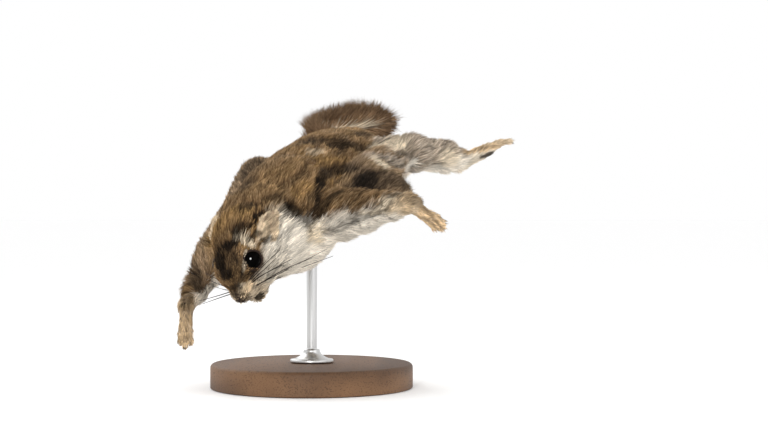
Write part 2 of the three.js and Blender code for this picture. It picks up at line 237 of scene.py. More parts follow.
def curve(points: Sequence[Vec], shares: Vec) -> Vec:
    """Reads a smooth curve through points.

    Args:
        points: What it runs through.
        shares: Shares of its run, each stretch between two points counting alike.

    Returns:
        A point for each share.
    """
    knots = [2 * points[0] - points[1], *points, 2 * points[-1] - points[-2]]
    found = []
    for share in np.clip(np.atleast_1d(shares), 0, 1):
        place = share * (len(points) - 1)
        index = min(int(place), len(points) - 2)
        rest = place - index
        before, start, end, after = knots[index : index + 4]
        pairs = ((before, start), (start, end), (end, after))
        gap, own, next_gap = (max(np.linalg.norm(b - a), 1e-6) ** 0.5 for a, b in pairs)
        onward = (end - start) / own
        leave = ((start - before) / gap - (end - before) / (gap + own) + onward) * own
        arrive = (onward - (after - start) / (own + next_gap) + (after - end) / next_gap) * own
        square = 3 * (end - start) - 2 * leave - arrive
        cube = 2 * (start - end) + leave + arrive
        found.append(start + leave * rest + square * rest**2 + cube * rest**3)
    return np.array(found)


@dataclass(frozen=True)
class Axes:
    """Three axes at right angles: forward, to the animal's left and towards its back."""

    origin: Vec
    forward: Vec
    left: Vec
    dorsal: Vec

    @classmethod
    def along(cls, origin: Vec, forward: Vec, dorsal: Vec) -> Axes:
        """Returns axes that face forward exactly and dorsal as nearly as they can."""
        front = unit(forward)
        left = unit(np.cross(dorsal, front))
        return cls(origin, front, left, np.cross(front, left))

    def at(self, forward: Any, left: Any, dorsal: Any) -> Vec:
        """Returns a place, or places, given along these axes."""
        return self.origin + self.towards(forward, left, dorsal)

    def towards(self, forward: Any, left: Any, dorsal: Any) -> Vec:
        """Returns a vector, or vectors, given along these axes."""
        return forward * self.forward + left * self.left + dorsal * self.dorsal

    def read(self, points: Vec) -> Vec:
        """Returns each point's place along these axes."""
        return (points - self.origin) @ np.stack([self.forward, self.left, self.dorsal], axis=1)


def limb(root: Vec, bones: Sequence[tuple[float, Vec]]) -> list[Vec]:
    """Sets a limb's joints out, bone by bone.

    Args:
        root: Where the limb starts.
        bones: Each bone's length and direction.

    Returns:
        The joints, from the root to the tip.
    """
    joints = [root]
    for length, direction in bones:
        joints.append(step(joints[-1], length, direction))
    return joints


@dataclass(frozen=True)
class Skeleton:
    """The pose, joint by joint, with the lengths of an adult's bones."""

    spine: float = 73
    neck: float = 44
    humerus: float = 27.3
    radius: float = 28.5
    hand: float = 16.5
    femur: float = 28
    tibia: float = 33
    foot: float = 29.5
    tail: float = 92
    chest: Vec = fixed(-9.6, -35, 72.2)

    @property
    def body(self) -> Axes:
        """The torso's axes, at the chest."""
        return Axes.along(self.chest, vec(-0.3, -0.925, -0.24), vec(-0.26, -0.15, 0.95))

    @property
    def head(self) -> Axes:
        """The head's axes, at its middle."""
        middle = step(self.chest, self.neck, vec(-0.32, -0.86, -0.39))
        return Axes.along(middle, vec(-0.12, -0.3, -0.95), vec(-0.64, -0.77, 0))

    @property
    def neck_middle(self) -> Vec:
        """The middle of the neck's bend."""
        return between(self.chest, self.head.origin, 0.6) + 3 * self.body.dorsal

    def arm(self, side: int) -> list[Vec]:
        """Returns shoulder, elbow, wrist and finger tip, of the left arm for 1 and the right for -1."""
        lengths = (self.humerus, self.radius, self.hand)
        if side > 0:
            ways = (vec(0.76, -0.62, 0.14), vec(0.67, -0.74, 0.1), vec(0.77, -0.25, -0.59))
            return limb(vec(-0.1, -43, 69), list(zip(lengths, ways)))
        ways = (vec(-0.62, 0.24, -0.7), vec(-0.31, -0.79, -0.52), vec(0, -0.23, -0.97))
        return limb(vec(-21.9, -29, 69.8), list(zip(lengths, ways)))

    def leg(self, side: int) -> list[Vec]:
        """Returns hip, knee, ankle and toe tip, of the left leg for 1 and the right for -1."""
        lengths = (self.femur, self.tibia, self.foot)
        if side > 0:
            ways = (vec(0.73, -0.64, 0.2), vec(0.64, 0.76, -0.04), vec(0.8, 0.51, 0.28))
            return limb(vec(20.5, 33, 91.7), list(zip(lengths, ways)))
        ways = (vec(-0.86, -0.1, 0.02), vec(0.12, 0.98, 0.13), vec(0.13, 0.99, 0.11))
        return limb(vec(6, 40, 86), list(zip(lengths, ways)))

    def tail_line(self, count: int = 200) -> Vec:
        """Returns evenly spaced points along the tail's middle."""
        bones = [
            (0.28 * self.tail, vec(-0.68, 0.71, 0.13)),
            (0.22 * self.tail, vec(0.12, 0.96, 0.24)),
            (0.24 * self.tail, vec(0.62, 0.76, 0.2)),
            (0.2 * self.tail, vec(0.76, 0.63, 0.17)),
        ]
        dense = curve(limb(self.body.at(-self.spine - 22, 0, 4), bones), np.linspace(0, 1, 4 * count))
        run = np.concatenate([[0], np.cumsum(np.linalg.norm(np.diff(dense, axis=0), axis=1))])
        even = np.linspace(0, run[-1], count)
        return np.stack([np.interp(even, run, dense[:, k]) for k in range(3)], axis=1)


class Part(Enum):
    """The parts of the body that the coat is made by."""

    TORSO = 0
    NECK = 1
    HEAD = 2
    EARS = 3
    ARMS = 4
    LEGS = 5
    PAWS = 6
    MEMBRANES = 7
    TAIL = 8


@dataclass(frozen=True)
class Coat:
    """How hair grows: its length, its angle to the skin, its width and its tufts to a square mm."""

    length: float
    lift: float
    width: float
    thick: float

    @property
    def depth(self) -> float:
        """How far the skin lies under the coat's outline."""
        return 0.85 * self.length * math.sin(self.lift)


def among(part: Vec, *kinds: Part) -> Vec:
    """Returns which of the points are on some parts of the body."""
    return np.isin(part, [kind.value for kind in kinds])


PELT = Coat(7.0, 0.38, 0.32, 5.0)
RUFF = Coat(6.4, 0.38, 0.32, 6.8)
CROWN = Coat(4.4, 0.34, 0.24, 10.0)
CHEEK = Coat(4.0, 0.3, 0.23, 10.0)
MUZZLE = Coat(1.8, 0.3, 0.17, 13.0)
NOSE = Coat(0.5, 0.2, 0.16, 0.0)
LID = Coat(0.6, 0.2, 0.16, 0.0)
EAR = Coat(1.7, 0.3, 0.16, 11.0)
SLEEVE = Coat(5.0, 0.36, 0.3, 6.2)
CUFF = Coat(3.0, 0.28, 0.24, 7.5)
PAW = Coat(1.3, 0.22, 0.17, 9.0)
FLANK = Coat(6.0, 0.3, 0.32, 4.4)
BRUSH = Coat(8.0, 0.12, 0.28, 13.0)


@dataclass(frozen=True)
class Form:
    """A form of flesh under hair. The lie is the way its hair points."""

    part: Part
    coat: Coat
    lie: Vec

    def distance(self, places: Sequence[Vec]) -> Vec:
        """Returns the distance from the form's surface, less than zero inside."""
        raise NotImplementedError

    def bounds(self) -> Box:
        """Returns the corners of a box round the form."""
        raise NotImplementedError


@dataclass(frozen=True)
class Mass(Form):
    """A rounded form with a half length, half width and half height along its axes."""

    axes: Axes
    centre: Vec
    size: tuple[float, float, float]

    def distance(self, places: Sequence[Vec]) -> Vec:
        """Returns the distance from the skin's surface."""
        gaps = offsets(places, self.centre)
        reach = slope = 0.0
        for way, size in zip((self.axes.forward, self.axes.left, self.axes.dorsal), self.size):
            span = max(size - self.coat.depth, 0.3)
            along = sum(gap * w for gap, w in zip(gaps, way)) / span
            reach = reach + along**2
            slope = slope + (along / span) ** 2
        reach = np.sqrt(reach)
        return reach * (reach - 1) / np.maximum(np.sqrt(slope), 1e-6)

    def bounds(self) -> Box:
        """Returns the corners of a box round the form."""
        return self.centre - max(self.size), self.centre + max(self.size)


@dataclass(frozen=True)
class Shaft(Form):
    """A tapering round length from one point to another."""

    start: Vec
    end: Vec
    first: float
    last: float

    def distance(self, places: Sequence[Vec]) -> Vec:
        """Returns the distance from the skin's surface."""
        along = self.end - self.start
        gaps = offsets(places, self.start)
        share = np.clip(sum(g * a for g, a in zip(gaps, along)) / float(along @ along), 0, 1)
        gap = np.sqrt(sum((g - share * a) ** 2 for g, a in zip(gaps, along)))
        return gap - (self.first + (self.last - self.first) * share) + self.coat.depth

    def bounds(self) -> Box:
        """Returns the corners of a box round the form."""
        widest = max(self.first, self.last)
        return np.minimum(self.start, self.end) - widest, np.maximum(self.start, self.end) + widest


@dataclass(frozen=True)
class Ring(Form):
    """A round ring, such as a lid's rim."""

    centre: Vec
    axis: Vec
    radius: float
    girth: float

    def distance(self, places: Sequence[Vec]) -> Vec:
        """Returns the distance from the ring's surface."""
        gaps = offsets(places, self.centre)
        height = sum(g * a for g, a in zip(gaps, self.axis))
        reach = np.sqrt(np.maximum(sum(g**2 for g in gaps) - height**2, 0))
        return np.sqrt((reach - self.radius) ** 2 + height**2) - self.girth

    def bounds(self) -> Box:
        """Returns the corners of a box round the form."""
        return self.centre - self.radius - self.girth, self.centre + self.radius + self.girth


@dataclass(frozen=True)
class Sheet(Form):
    """A closed mesh of flesh, such as a membrane, read from a level set a voxel fine."""

    points: Vec
    quads: Vec
    voxel: float
    band: float = 4.0
    pad: int = 6
    level: list[Any] = field(default_factory=list)

    def bounds(self) -> Box:
        """Returns the corners of a box round the form."""
        return self.points.min(0), self.points.max(0)

    def distance(self, places: Sequence[Vec]) -> Vec:
        """Returns the distance from the sheet, up to the width of its band."""
        if not self.level:
            grid = openvdb.FloatGrid.createLevelSetFromPolygons(
                self.points.astype(np.float32),
                quads=self.quads.astype(np.uint32),
                transform=openvdb.createLinearTransform(voxelSize=self.voxel),
                halfWidth=self.band,
            )
            low, high = self.bounds()
            start = np.floor(low / self.voxel).astype(int) - self.pad
            values = np.empty(np.ceil(high / self.voxel).astype(int) + self.pad - start, np.float32)
            grid.copyToArray(values, ijk=tuple(int(s) for s in start))
            self.level.extend([start, values])
        start, values = self.level
        cells, shares = [], []
        outside = False
        for axis, coordinate in enumerate(places):
            place = coordinate / self.voxel - start[axis]
            outside = outside | (place < 0) | (place > values.shape[axis] - 1)
            cell = np.clip(np.floor(place).astype(int), 0, values.shape[axis] - 2)
            cells.append(cell)
            shares.append(np.clip(place - cell, 0, 1))
        total = 0.0
        for corner in itertools.product((0, 1), repeat=3):
            weight = 1.0
            for share, near in zip(shares, corner):
                weight = weight * (share if near else 1 - share)
            total = total + weight * values[tuple(p + n for p, n in zip(cells, corner))]
        return np.where(outside, self.band * self.voxel, total)


@dataclass(frozen=True)
class Group:
    """Forms run together, with the softness of their own creases and of the crease round them all."""

    forms: list[Form]
    softness: float
    join: float

    def distance(self, places: Sequence[Vec]) -> Vec:
        """Returns the distance from the group's surface."""
        total = self.forms[0].distance(places)
        for form in self.forms[1:]:
            total = soft_least(form.distance(places), total, self.softness)
        return total

    def bounds(self) -> Box:
        """Returns the corners of a box round the group."""
        boxes = [form.bounds() for form in self.forms]
        return np.min([b[0] for b in boxes], axis=0), np.max([b[1] for b in boxes], axis=0)


def slab(middle: Vec, half: float) -> Mesh:
    """Closes a grid of points into a thin solid.

    Args:
        middle: Rows and columns of points.
        half: Half its thickness.

    Returns:
        Its points and its faces of four corners.
    """
    rows, columns = middle.shape[:2]
    normal = unit(np.cross(np.gradient(middle, axis=1), np.gradient(middle, axis=0)))
    top = middle + normal * half
    bottom = middle - normal * half
    index = np.arange(rows * columns).reshape(rows, columns)
    a, b, c, d = index[:-1, :-1], index[:-1, 1:], index[1:, 1:], index[1:, :-1]
    upper = np.stack([a, b, c, d], axis=-1).reshape(-1, 4)
    lower = upper[:, ::-1] + rows * columns
    rim = np.concatenate([index[0, :], index[1:, -1], index[-1, -2::-1], index[-2:0:-1, 0]])
    after = np.roll(rim, -1)
    wall = np.stack([after, rim, rim + rows * columns, after + rows * columns], axis=1)
    points = np.concatenate([top.reshape(-1, 3), bottom.reshape(-1, 3)])
    return points, np.concatenate([upper, lower, wall])


def closed(rings: Vec, ends: Vec) -> Mesh:
    """Joins rings of points into one closed surface.

    Args:
        rings: The rings, one after another, with as many points in each.
        ends: The point that closes the first ring, and the one that closes the last.

    Returns:
        Its points and its faces of four corners, the last given twice where they close an end.
    """
    count, sides = rings.shape[:2]
    index = np.arange(count * sides).reshape(count, sides)
    after = np.roll(index, -1, axis=1)
    walls = np.stack([index[:-1], after[:-1], after[1:], index[1:]], axis=-1).reshape(-1, 4)
    first = np.stack([np.full(sides, count * sides), after[0], index[0], index[0]], axis=1)
    last = np.stack([np.full(sides, count * sides + 1), index[-1], after[-1], after[-1]], axis=1)
    return np.concatenate([rings.reshape(-1, 3), ends]), np.concatenate([walls, first, last])


def tube(centres: Vec, side: Vec, top: Vec, width: Vec, height: Vec, sides: int = 16) -> Mesh:
    """Sweeps an oval along a line of centres and closes its ends.

    Args:
        centres: The line.
        side: The oval's sideways direction at each centre.
        top: Its upward direction at each centre.
        width: Its half width at each centre.
        height: Its half height at each centre.
        sides: How many sides it has.

    Returns:
        Its points and faces.
    """
    turn = (np.arange(sides) * 2 * math.pi / sides)[None, :, None]
    sideways = np.cos(turn) * (side * width[:, None])[:, None]
    upward = np.sin(turn) * (top * height[:, None])[:, None]
    return closed(centres[:, None] + sideways + upward, centres[[0, -1]])


@dataclass(frozen=True)
class Tail:
    """The tail: a flat brush that stands on its edge beyond its root."""

    line: Vec
    flat: Vec = fixed(1, -0.2, 0.1)
    root_reach: float = 10
    full_reach: float = 14.2
    tip_reach: float = 13

    @property
    def along(self) -> Vec:
        """The way the tail runs at each point of its line."""
        return unit(np.gradient(self.line, axis=0))

    @property
    def across(self) -> Vec:
        """The way its upper edge lies at each point of its line."""
        return unit(np.cross(self.along, self.flat))

    def reach(self, share: Vec) -> Vec:
        """Returns how far its hair reaches from the middle at a share of its length."""
        grown = self.full_reach - self.root_reach
        worn = self.full_reach - self.tip_reach
        return self.root_reach + grown * ease(share, 0.02, 0.3) - worn * ease(share, 0.7, 1)

    def lean(self, share: Vec) -> Vec:
        """Returns how far its hair leans towards the tip, as an angle."""
        return 0.3 - 0.7 * (1 - ease(share, 0, 0.35)) + 0.85 * ease(share, 0.82, 1)

    def core(self) -> Mesh:
        """Returns the points and faces of the flesh inside the brush."""
        share = np.linspace(0, 1, len(self.line))
        ends = (1 - np.abs(2 * share - 1) ** 8) ** 0.5 + 0.02
        width = 0.3 * self.reach(share) * ends
        height = (2.6 - 1.4 * share) * ends
        return tube(self.line, self.across, unit(np.cross(self.along, self.across)), width, height)

    def read(self, points: Vec) -> tuple[Vec, Vec, Vec]:
        """Places points along the tail.

        Args:
            points: Points near the tail.

        Returns:
            Each one's share of the tail's length, index on its line, and offset towards the upper edge.
        """
        found = nearest(points, self.line)
        offset = ((points - self.line[found]) * self.across[found]).sum(1)
        return found / (len(self.line) - 1), found, offset


@dataclass(frozen=True)
class Paw:
    """A hand or foot: its whole length, half width, digits, their length and the depth of its heel."""

    axes: Axes
    whole: float
    half: float
    digits: int
    length: float
    heel: float

    @classmethod
    def hand(cls, joints: list[Vec]) -> Paw:
        """Returns the hand at the end of an arm."""
        way = joints[-1] - joints[-2]
        axes = Axes.along(joints[-2], way, vec(-0.2, -0.6, 0.75))
        return cls(axes, float(np.linalg.norm(way)), 2.5, 4, 8.5, 0.0)

    @classmethod
    def foot(cls, joints: list[Vec]) -> Paw:
        """Returns the foot at the end of a leg."""
        way = joints[-1] - joints[-2]
        return cls(Axes.along(joints[-2], way, UP), float(np.linalg.norm(way)), 3.2, 5, 10.0, 1.6)

    @property
    def palm(self) -> float:
        """The length of its palm."""
        return self.whole - self.length

    def digit(self, number: int) -> list[Vec]:
        """Returns four points along a digit, from inside the palm to its claw's tip."""
        spread = 2 * number / (self.digits - 1) - 1
        reach = self.length * (1 - 0.2 * spread**2)
        side = spread * self.half
        return [
            self.axes.at(self.palm - 3, side * 0.6, 0),
            self.axes.at(self.palm + reach * 0.4, side * 0.82, 0.7),
            self.axes.at(self.palm + reach * 0.8, side * 0.88, -0.1),
            self.axes.at(self.palm + reach, side * 0.88, -1.3),
        ]

    def groups(self) -> list[Group]:
        """Returns the flesh of the palm and of each digit."""
        axes, half, heel = self.axes, self.half, self.heel
        hair = (Part.PAWS, PAW, axes.forward)
        rear, front = axes.at(-1.5, 0, -1.15 * heel), axes.at(self.palm - 4, 0, -heel / 2)
        girths = (half * 0.76 + 0.45 * heel, half * 0.66 + 0.2 * heel)
        ball = (axes.at(self.palm - 1.5, 0, 0), (4.6, half * 0.98, half * 0.56))
        found = [Group([Shaft(*hair, rear, front, *girths), Mass(*hair, axes, *ball)], 2, 2.4)]
        for number in range(self.digits):
            root, knuckle, end, _ = self.digit(number)
            bones = [
                Shaft(*hair, root, knuckle, 1.1, 1.05),
                Shaft(*hair, knuckle, end, 1.0, 0.95),
                Mass(*hair, axes, end + 0.2 * axes.dorsal, (1.4, 1.05, 1.1)),
            ]
            found.append(Group(bones, 0.6, 0.35))
        return found


@dataclass
class Flesh:
    """The forms of the whole body, from the same named sizes as the solids."""

    bones: Skeleton
    voxel: float = 0.6
    eye_radius: float = 4.0
    membrane_half: float = 0.6

    def __post_init__(self) -> None:
        """Sets the tail on its line."""
        self.tail = Tail(self.bones.tail_line())

    def eye_centre(self, side: int) -> Vec:
        """Returns the middle of an eye, 1 for the left and -1 for the right."""
        return self.bones.head.at(2.6, side * 7.4, 3.4)

    def eye_gap(self, points: Vec, side: int) -> Vec:
        """Returns each point's distance from the surface of an eye."""
        return apart(points, self.eye_centre(side)) - self.eye_radius

    def ear_middle(self, side: int) -> Vec:
        """Returns the middle of an ear's cup."""
        return self.bones.head.at(-11.5, side * 13.3, 2.5)

    def eye_axis(self, side: int) -> Vec:
        """Returns the way an eye looks."""
        return unit(self.bones.head.towards(0.1, side, 0.42))

    def torso(self) -> Group:
        """Returns rib cage, belly and haunches."""
        body = self.bones.body
        lie = -body.forward - 0.12 * body.dorsal
        places = [
            ((0, 0, -1), (24, 21, 21)),
            ((5, 6, -8), (14, 12, 12)),
            ((-19, 0, 1), (25, 20.5, 20.2)),
            ((-38, 0, 2.5), (32, 20, 19.5)),
            ((-56, 0, 1.5), (25, 20, 18.8)),
            ((-self.bones.spine, 0, 0), (23, 20, 18)),
            ((-self.bones.spine - 14, 0, 2), (16, 13, 13)),
        ]
        return Group([Mass(Part.TORSO, PELT, lie, body, body.at(*p), s) for p, s in places], 10, 4)

    def neck(self) -> Group:
        """Returns the neck, loose skinned under the throat."""
        bones, body, head = self.bones, self.bones.body, self.bones.head
        middle = bones.neck_middle
        lie = unit(bones.chest - head.origin)
        forms = [
            Shaft(Part.NECK, RUFF, lie, bones.chest, middle, 19, 17),
            Shaft(Part.NECK, RUFF, lie, middle, head.at(-8, 0, 0), 16.5, 12),
            Shaft(Part.NECK, RUFF, lie, body.at(11, 3, -9), head.at(-3, 2, -8), 13, 10),
        ]
        return Group(forms, 6, 6)

    def head(self) -> Group:
        """Returns skull, brow, cheeks, muzzle, whisker pads, nose and chin."""
        head = self.bones.head
        back = -head.forward
        places = [
            (CROWN, (-5, 0, 0.5), (14.5, 13, 12.5)),
            (CROWN, (5, 0, 3.2), (8.6, 9.7, 7)),
            (CHEEK, (0.5, 6, -4.5), (10.5, 6.6, 7.4)),
            (CHEEK, (0.5, -6, -4.5), (10.5, 6.6, 7.4)),
            (MUZZLE, (8, 0, -1), (8, 6, 5.5)),
            (MUZZLE, (10.9, 2.5, -3.2), (4.4, 3.2, 3.2)),
            (MUZZLE, (10.9, -2.5, -3.2), (4.4, 3.2, 3.2)),
            (NOSE, (14.8, 0, -1.4), (2.4, 2.3, 2.1)),
            (MUZZLE, (8.2, 0, -9.2), (6.7, 4.8, 4.1)),
        ]
        return Group([Mass(Part.HEAD, c, back, head, head.at(*p), s) for c, p, s in places], 3, 3)

    def lids(self) -> Group:
        """Returns the rims of the lids."""
        back, radius, forms = -self.bones.head.forward, self.eye_radius, []
        for side in (1, -1):
            axis = self.eye_axis(side)
            middle = self.eye_centre(side) + axis * radius * 0.3
            forms.append(Ring(Part.HEAD, LID, back, middle, axis, radius * 0.93, 0.62))
        return Group(forms, 0.5, 1.4)

    def carved(self) -> list[Mass]:
        """Returns what is cut out of the head: mouth, groove of the lip and nostrils."""
        head = self.bones.head
        bare = Coat(0, 0, 0, 0)
        nostril = (1.3, 0.7, 0.62)
        places = [
            ((11.3, 0, -6.4), (5.4, 4.8, 1.0)),
            ((15.9, 0, -4.2), (1.6, 0.25, 2.4)),
            ((16.4, 1.3, -1.0), nostril),
            ((16.4, -1.3, -1.0), nostril),
        ]
        return [Mass(Part.HEAD, bare, head.forward, head, head.at(*p), s) for p, s in places]

    def ears(self) -> Group:
        """Returns the cups of the ears, laid back along the neck."""
        head = self.bones.head
        forms: list[Form] = []
        for side, flare in ((1, 0.42), (-1, 0.36)):
            onward = head.towards(-0.93, side * flare, 0.1)
            cup = Axes.along(head.at(-8, side * 10.6, 2), onward, head.towards(0.3, side * 0.95, 0.05))
            rows = np.linspace(0, 1, 30)[:, None]
            columns = np.linspace(-1, 1, 29)[None, :]
            width = 4.6 * np.sin(np.clip(rows * 0.84 + 0.16, 0, 1) * math.pi) ** 0.55
            run = -3.5 + 13.6 * rows - 1.6 * columns**2 * rows
            rise = 1.5 * np.abs(columns) ** 2.2 * (1.15 - rows * 0.55) - 0.8 * np.sin(rows * math.pi)
            fold = 0.7 * np.sin(rows * 9 + 2 * columns) * np.sin(columns * 5 + 1)
            middle = cup.at(*(ways[..., None] for ways in (run, width * columns, rise + fold + 1.1)))
            forms.append(Sheet(Part.EARS, EAR, cup.forward, *slab(middle, 0.6), self.voxel / 2, 8.0))
        return Group(forms, 0.5, 1.2)

    def long_bones(self, side: int) -> list[Group]:
        """Builds the flesh of an arm's and a leg's long bones.

        Args:
            side: 1 for the left, -1 for the right.

        Returns:
            A group for each bone.
        """
        arm, leg = self.bones.arm(side), self.bones.leg(side)
        upper = (11, 10, 8.5) if side > 0 else (9.5, 8, 6.4)
        lower = (7.6, 5.2, 3.6) if side > 0 else (5.4, 4.2, 2.6)
        groups = []
        for joints, index, radii, share, part, coat in (
            (arm, 0, upper, 0.6, Part.ARMS, SLEEVE),
            (arm, 1, lower, 0.6, Part.ARMS, CUFF),
            (leg, 0, (11, 9.3, 7.3), 0.6, Part.LEGS, SLEEVE),
            (leg, 1, (7.4, 6.9, 4.6), 0.66, Part.LEGS, SLEEVE),
        ):
            start, end = joints[index], joints[index + 1]
            middle = between(start, end, share)
            lie = unit(end - start)
            forms = [
                Shaft(part, coat, lie, start, middle, radii[0], radii[1]),
                Shaft(part, coat, lie, middle, end, radii[1], radii[2]),
            ]
            groups.append(Group(forms, 2, 5 if index == 0 else 3))
        return groups

    def paws(self) -> list[Paw]:
        """Returns the hand and the foot of each side."""
        pairs = [(Paw.hand(self.bones.arm(side)), Paw.foot(self.bones.leg(side))) for side in (1, -1)]
        return [paw for pair in pairs for paw in pair]

    def membrane(self, side: int) -> Group:
        """Builds the gliding membrane between an arm, the flank and a leg.

        Args:
            side: 1 for the left, -1 for the right.

        Returns:
            A group of one sheet.
        """
        shoulder, elbow, wrist, _ = self.bones.arm(side)
        hip, knee, ankle, _ = self.bones.leg(side)
        body = self.bones.body
        inner = [between(shoulder, elbow, 0.2), body.at(-24, 14 * side, 2), body.at(-48, 14 * side, 2)]
        inner.append(between(hip, knee, 0.2))
        if side > 0:
            edge = [between(elbow, wrist, 0.88), vec(38.8, -57, 80), vec(35.5, -20, 86.8)]
            edge += [between(knee, ankle, 0.25), between(knee, ankle, 0.8)]
        else:
            edge = [between(elbow, wrist, 0.9)]
            edge += [vec(-46, -27, 53), vec(-36, 0, 74), vec(-28, 22, 92)]
            edge += [between(knee, ankle, 0.4), between(knee, ankle, 0.85)]
        run = np.linspace(0, 1, 70)
        spread = np.linspace(0, 1, 34)
        first, last = curve(inner, run), curve(edge, run)
        middle = first[:, None] + (last - first)[:, None] * spread[None, :, None]
        billow = np.outer(np.sin(math.pi * run), np.sin(math.pi * spread)) * (8 if side > 0 else 6)
        middle = middle + billow[..., None] * body.dorsal
        lie = unit(0.65 * side * body.left - 0.75 * body.forward)
        points, quads = slab(middle, self.membrane_half)
        return Group([Sheet(Part.MEMBRANES, FLANK, lie, points, quads, self.voxel)], 1, 3)

    def brush(self) -> Group:
        """Returns the flesh of the tail."""
        points, quads = self.tail.core()
        return Group([Sheet(Part.TAIL, BRUSH, self.tail.along[100], points, quads, self.voxel)], 1, 3)

    def groups(self) -> list[Group]:
        """Returns every group of forms, in the order in which they are joined."""
        found = [self.torso(), self.neck(), self.head()]
        for side in (1, -1):
            found += self.long_bones(side)
        found += [self.membrane(1), self.membrane(-1), self.brush(), self.ears(), self.lids()]
        return found + [group for paw in self.paws() for group in paw.groups()]


@dataclass
class Hide:
    """The skin's surface, with how the hair grows at each of its points."""

    points: Vec
    faces: Vec
    normals: Vec
    part: Vec
    lie: Vec
    length: Vec
    lift: Vec
    width: Vec
    thick: Vec


@dataclass
class Tanner:
    """Turns the flesh into one closed skin."""

    flesh: Flesh
    far: float = 12.0
    band: float = 3.0
    margin: float = 8.0
    cut: float = 0.4
    face_half: tuple[float, float] = (14, 16)
    ear_reach: float = 9.5
    finer: tuple[float, float] = (-4.0, 9.0)
    blend: float = 1.6

    def __post_init__(self) -> None:
        """Lists what is joined in turn, how softly, and 1, or -1 for what is cut out."""
        self.groups = self.flesh.groups()
        self.merges = [(group, group.join, 1) for group in self.groups]
        self.merges += [(hollow, self.cut, -1) for hollow in self.flesh.carved()]

    def corners(self, form: Any) -> Box:
        """Returns the first and last voxel of a box round a form."""
        low, high = form.bounds()
        first = np.floor((low - self.margin) / self.flesh.voxel)
        last = np.ceil((high + self.margin) / self.flesh.voxel)
        return first.astype(int), last.astype(int)

    def surface(self) -> Mesh:
        """Meshes the joined field, and returns the skin's points and its faces of four corners."""
        voxel = self.flesh.voxel
        boxes = [self.corners(group) for group in self.groups]
        low, high = np.min([b[0] for b in boxes], axis=0), np.max([b[1] for b in boxes], axis=0)
        total = np.full(high - low, self.far, np.float32)
        for form, softness, sign in self.merges:
            first, last = self.corners(form)
            start, stop = np.maximum(first - low, 0), np.minimum(last - low, total.shape)
            axes = [(np.arange(a, b) + c) * voxel for a, b, c in zip(start, stop, low)]
            shape = form.distance(np.ix_(*[axis.astype(np.float32) for axis in axes]))
            window = tuple(slice(a, b) for a, b in zip(start, stop))
            old = sign * total[window]
            total[window] = sign * soft_least(shape.astype(np.float32), old, softness)
        grid = openvdb.FloatGrid(background=self.band)
        grid.copyFromArray(np.clip(total, -self.band, self.band))
        points, _, quads = grid.convertToPolygons(isovalue=0.0, adaptivity=0.0)
        return (points + low) * voxel, quads.astype(np.int64)

    def field(self, points: Vec) -> Vec:
        """Returns the joined field at points."""
        total = np.full(len(points), self.far)
        for form, softness, sign in self.merges:
            total = sign * soft_least(form.distance(points.T), sign * total, softness)
        return total

    def refine(self, points: Vec, faces: Vec, behind: float) -> Mesh:
        """Splits the faces of the face into four and sets their corners on the field.

        Args:
            points: The skin's points.
            faces: Its faces of four corners, the last given twice in a triangle.
            behind: How far back along the head the finer stretch starts.

        Returns:
            The finer skin's points and faces.
        """
        place = self.flesh.bones.head.read(points)
        near = (place[:, 0] > behind) & (np.abs(place[:, 1:]) < self.face_half).all(1)
        for side in (1, -1):
            near |= (apart(points, self.flesh.ear_middle(side)) < self.ear_reach) & (behind < 0)
        chosen = near[faces].all(1) & (faces[:, 2] != faces[:, 3])
        ends = np.stack([faces, np.roll(faces, -1, axis=1)], axis=-1)
        keys = np.sort(ends, axis=-1) @ np.array([len(points), 1])
        split = np.unique(keys[chosen])
        halves = np.stack([split // len(points), split % len(points)], axis=1)
        number = np.searchsorted(split, keys)
        has = (split[np.minimum(number, len(split) - 1)] == keys) & (ends[..., 0] != ends[..., 1])
        middle = np.where(has, number + len(points), -1)
        rim = has.any(1) & ~chosen
        inner, outer = np.flatnonzero(chosen), np.flatnonzero(rim)
        centre = np.zeros(len(faces), int)
        centre[inner] = len(points) + len(split) + np.arange(len(inner))
        centre[outer] = len(points) + len(split) + len(inner) + np.arange(len(outer))
        quads = [
            np.stack([faces[inner, k], middle[inner, k], centre[inner], middle[inner, k - 1]], axis=1)
            for k in range(4)
        ]
        fans = []
        for face in outer:
            ring = [v for k in range(4) for v in (faces[face, k], middle[face, k]) if v >= 0]
            ring = [v for k, v in enumerate(ring) if v != ring[k - 1]]
            fans += [(a, b, centre[face], centre[face]) for a, b in zip(ring, ring[1:] + ring[:1])]
        added = [points[corners].mean(1) for corners in (halves, faces[inner], faces[outer])]
        fine = np.concatenate([points, *added])
        joined = np.concatenate([faces[~chosen & ~rim], *quads, np.array(fans, int).reshape(-1, 4)])
        edges = np.arange(len(split)) + len(points)
        moved = np.unique(np.concatenate([faces[chosen].ravel(), edges, centre[inner]]))
        normals = self.normals(fine, joined)
        for _ in range(4):
            shift = np.clip(self.field(fine[moved]), -0.25, 0.25)
            fine[moved] -= 0.8 * shift[:, None] * normals[moved]
        return fine, joined

    def tan(self) -> Hide:
        """Returns the finished skin."""
        points, faces = self.surface()
        for behind in self.finer:
            points, faces = self.refine(points, faces, behind)
        forms = [form for group in self.groups for form in group.forms]
        gaps = np.stack([form.distance(points.T) for form in forms], axis=1)
        weight = np.exp(-np.maximum(gaps - gaps.min(1, keepdims=True), 0) / self.blend)
        weight /= weight.sum(1, keepdims=True)
        part = np.array([form.part.value for form in forms])[gaps.argmin(1)]

        def spread(values: list[Any]) -> Vec:
            """Returns values of the forms, run into one another over the skin."""
            return weight @ np.array(values, float)

        lie = unit(spread([form.lie for form in forms]))
        names = ("length", "lift", "width", "thick")
        hair = {name: spread([getattr(form.coat, name) for form in forms]) for name in names}
        hide = Hide(points, faces, self.normals(points, faces), part, lie, **hair)
        self.comb_tail(hide)
        self.trim(hide)
        return hide

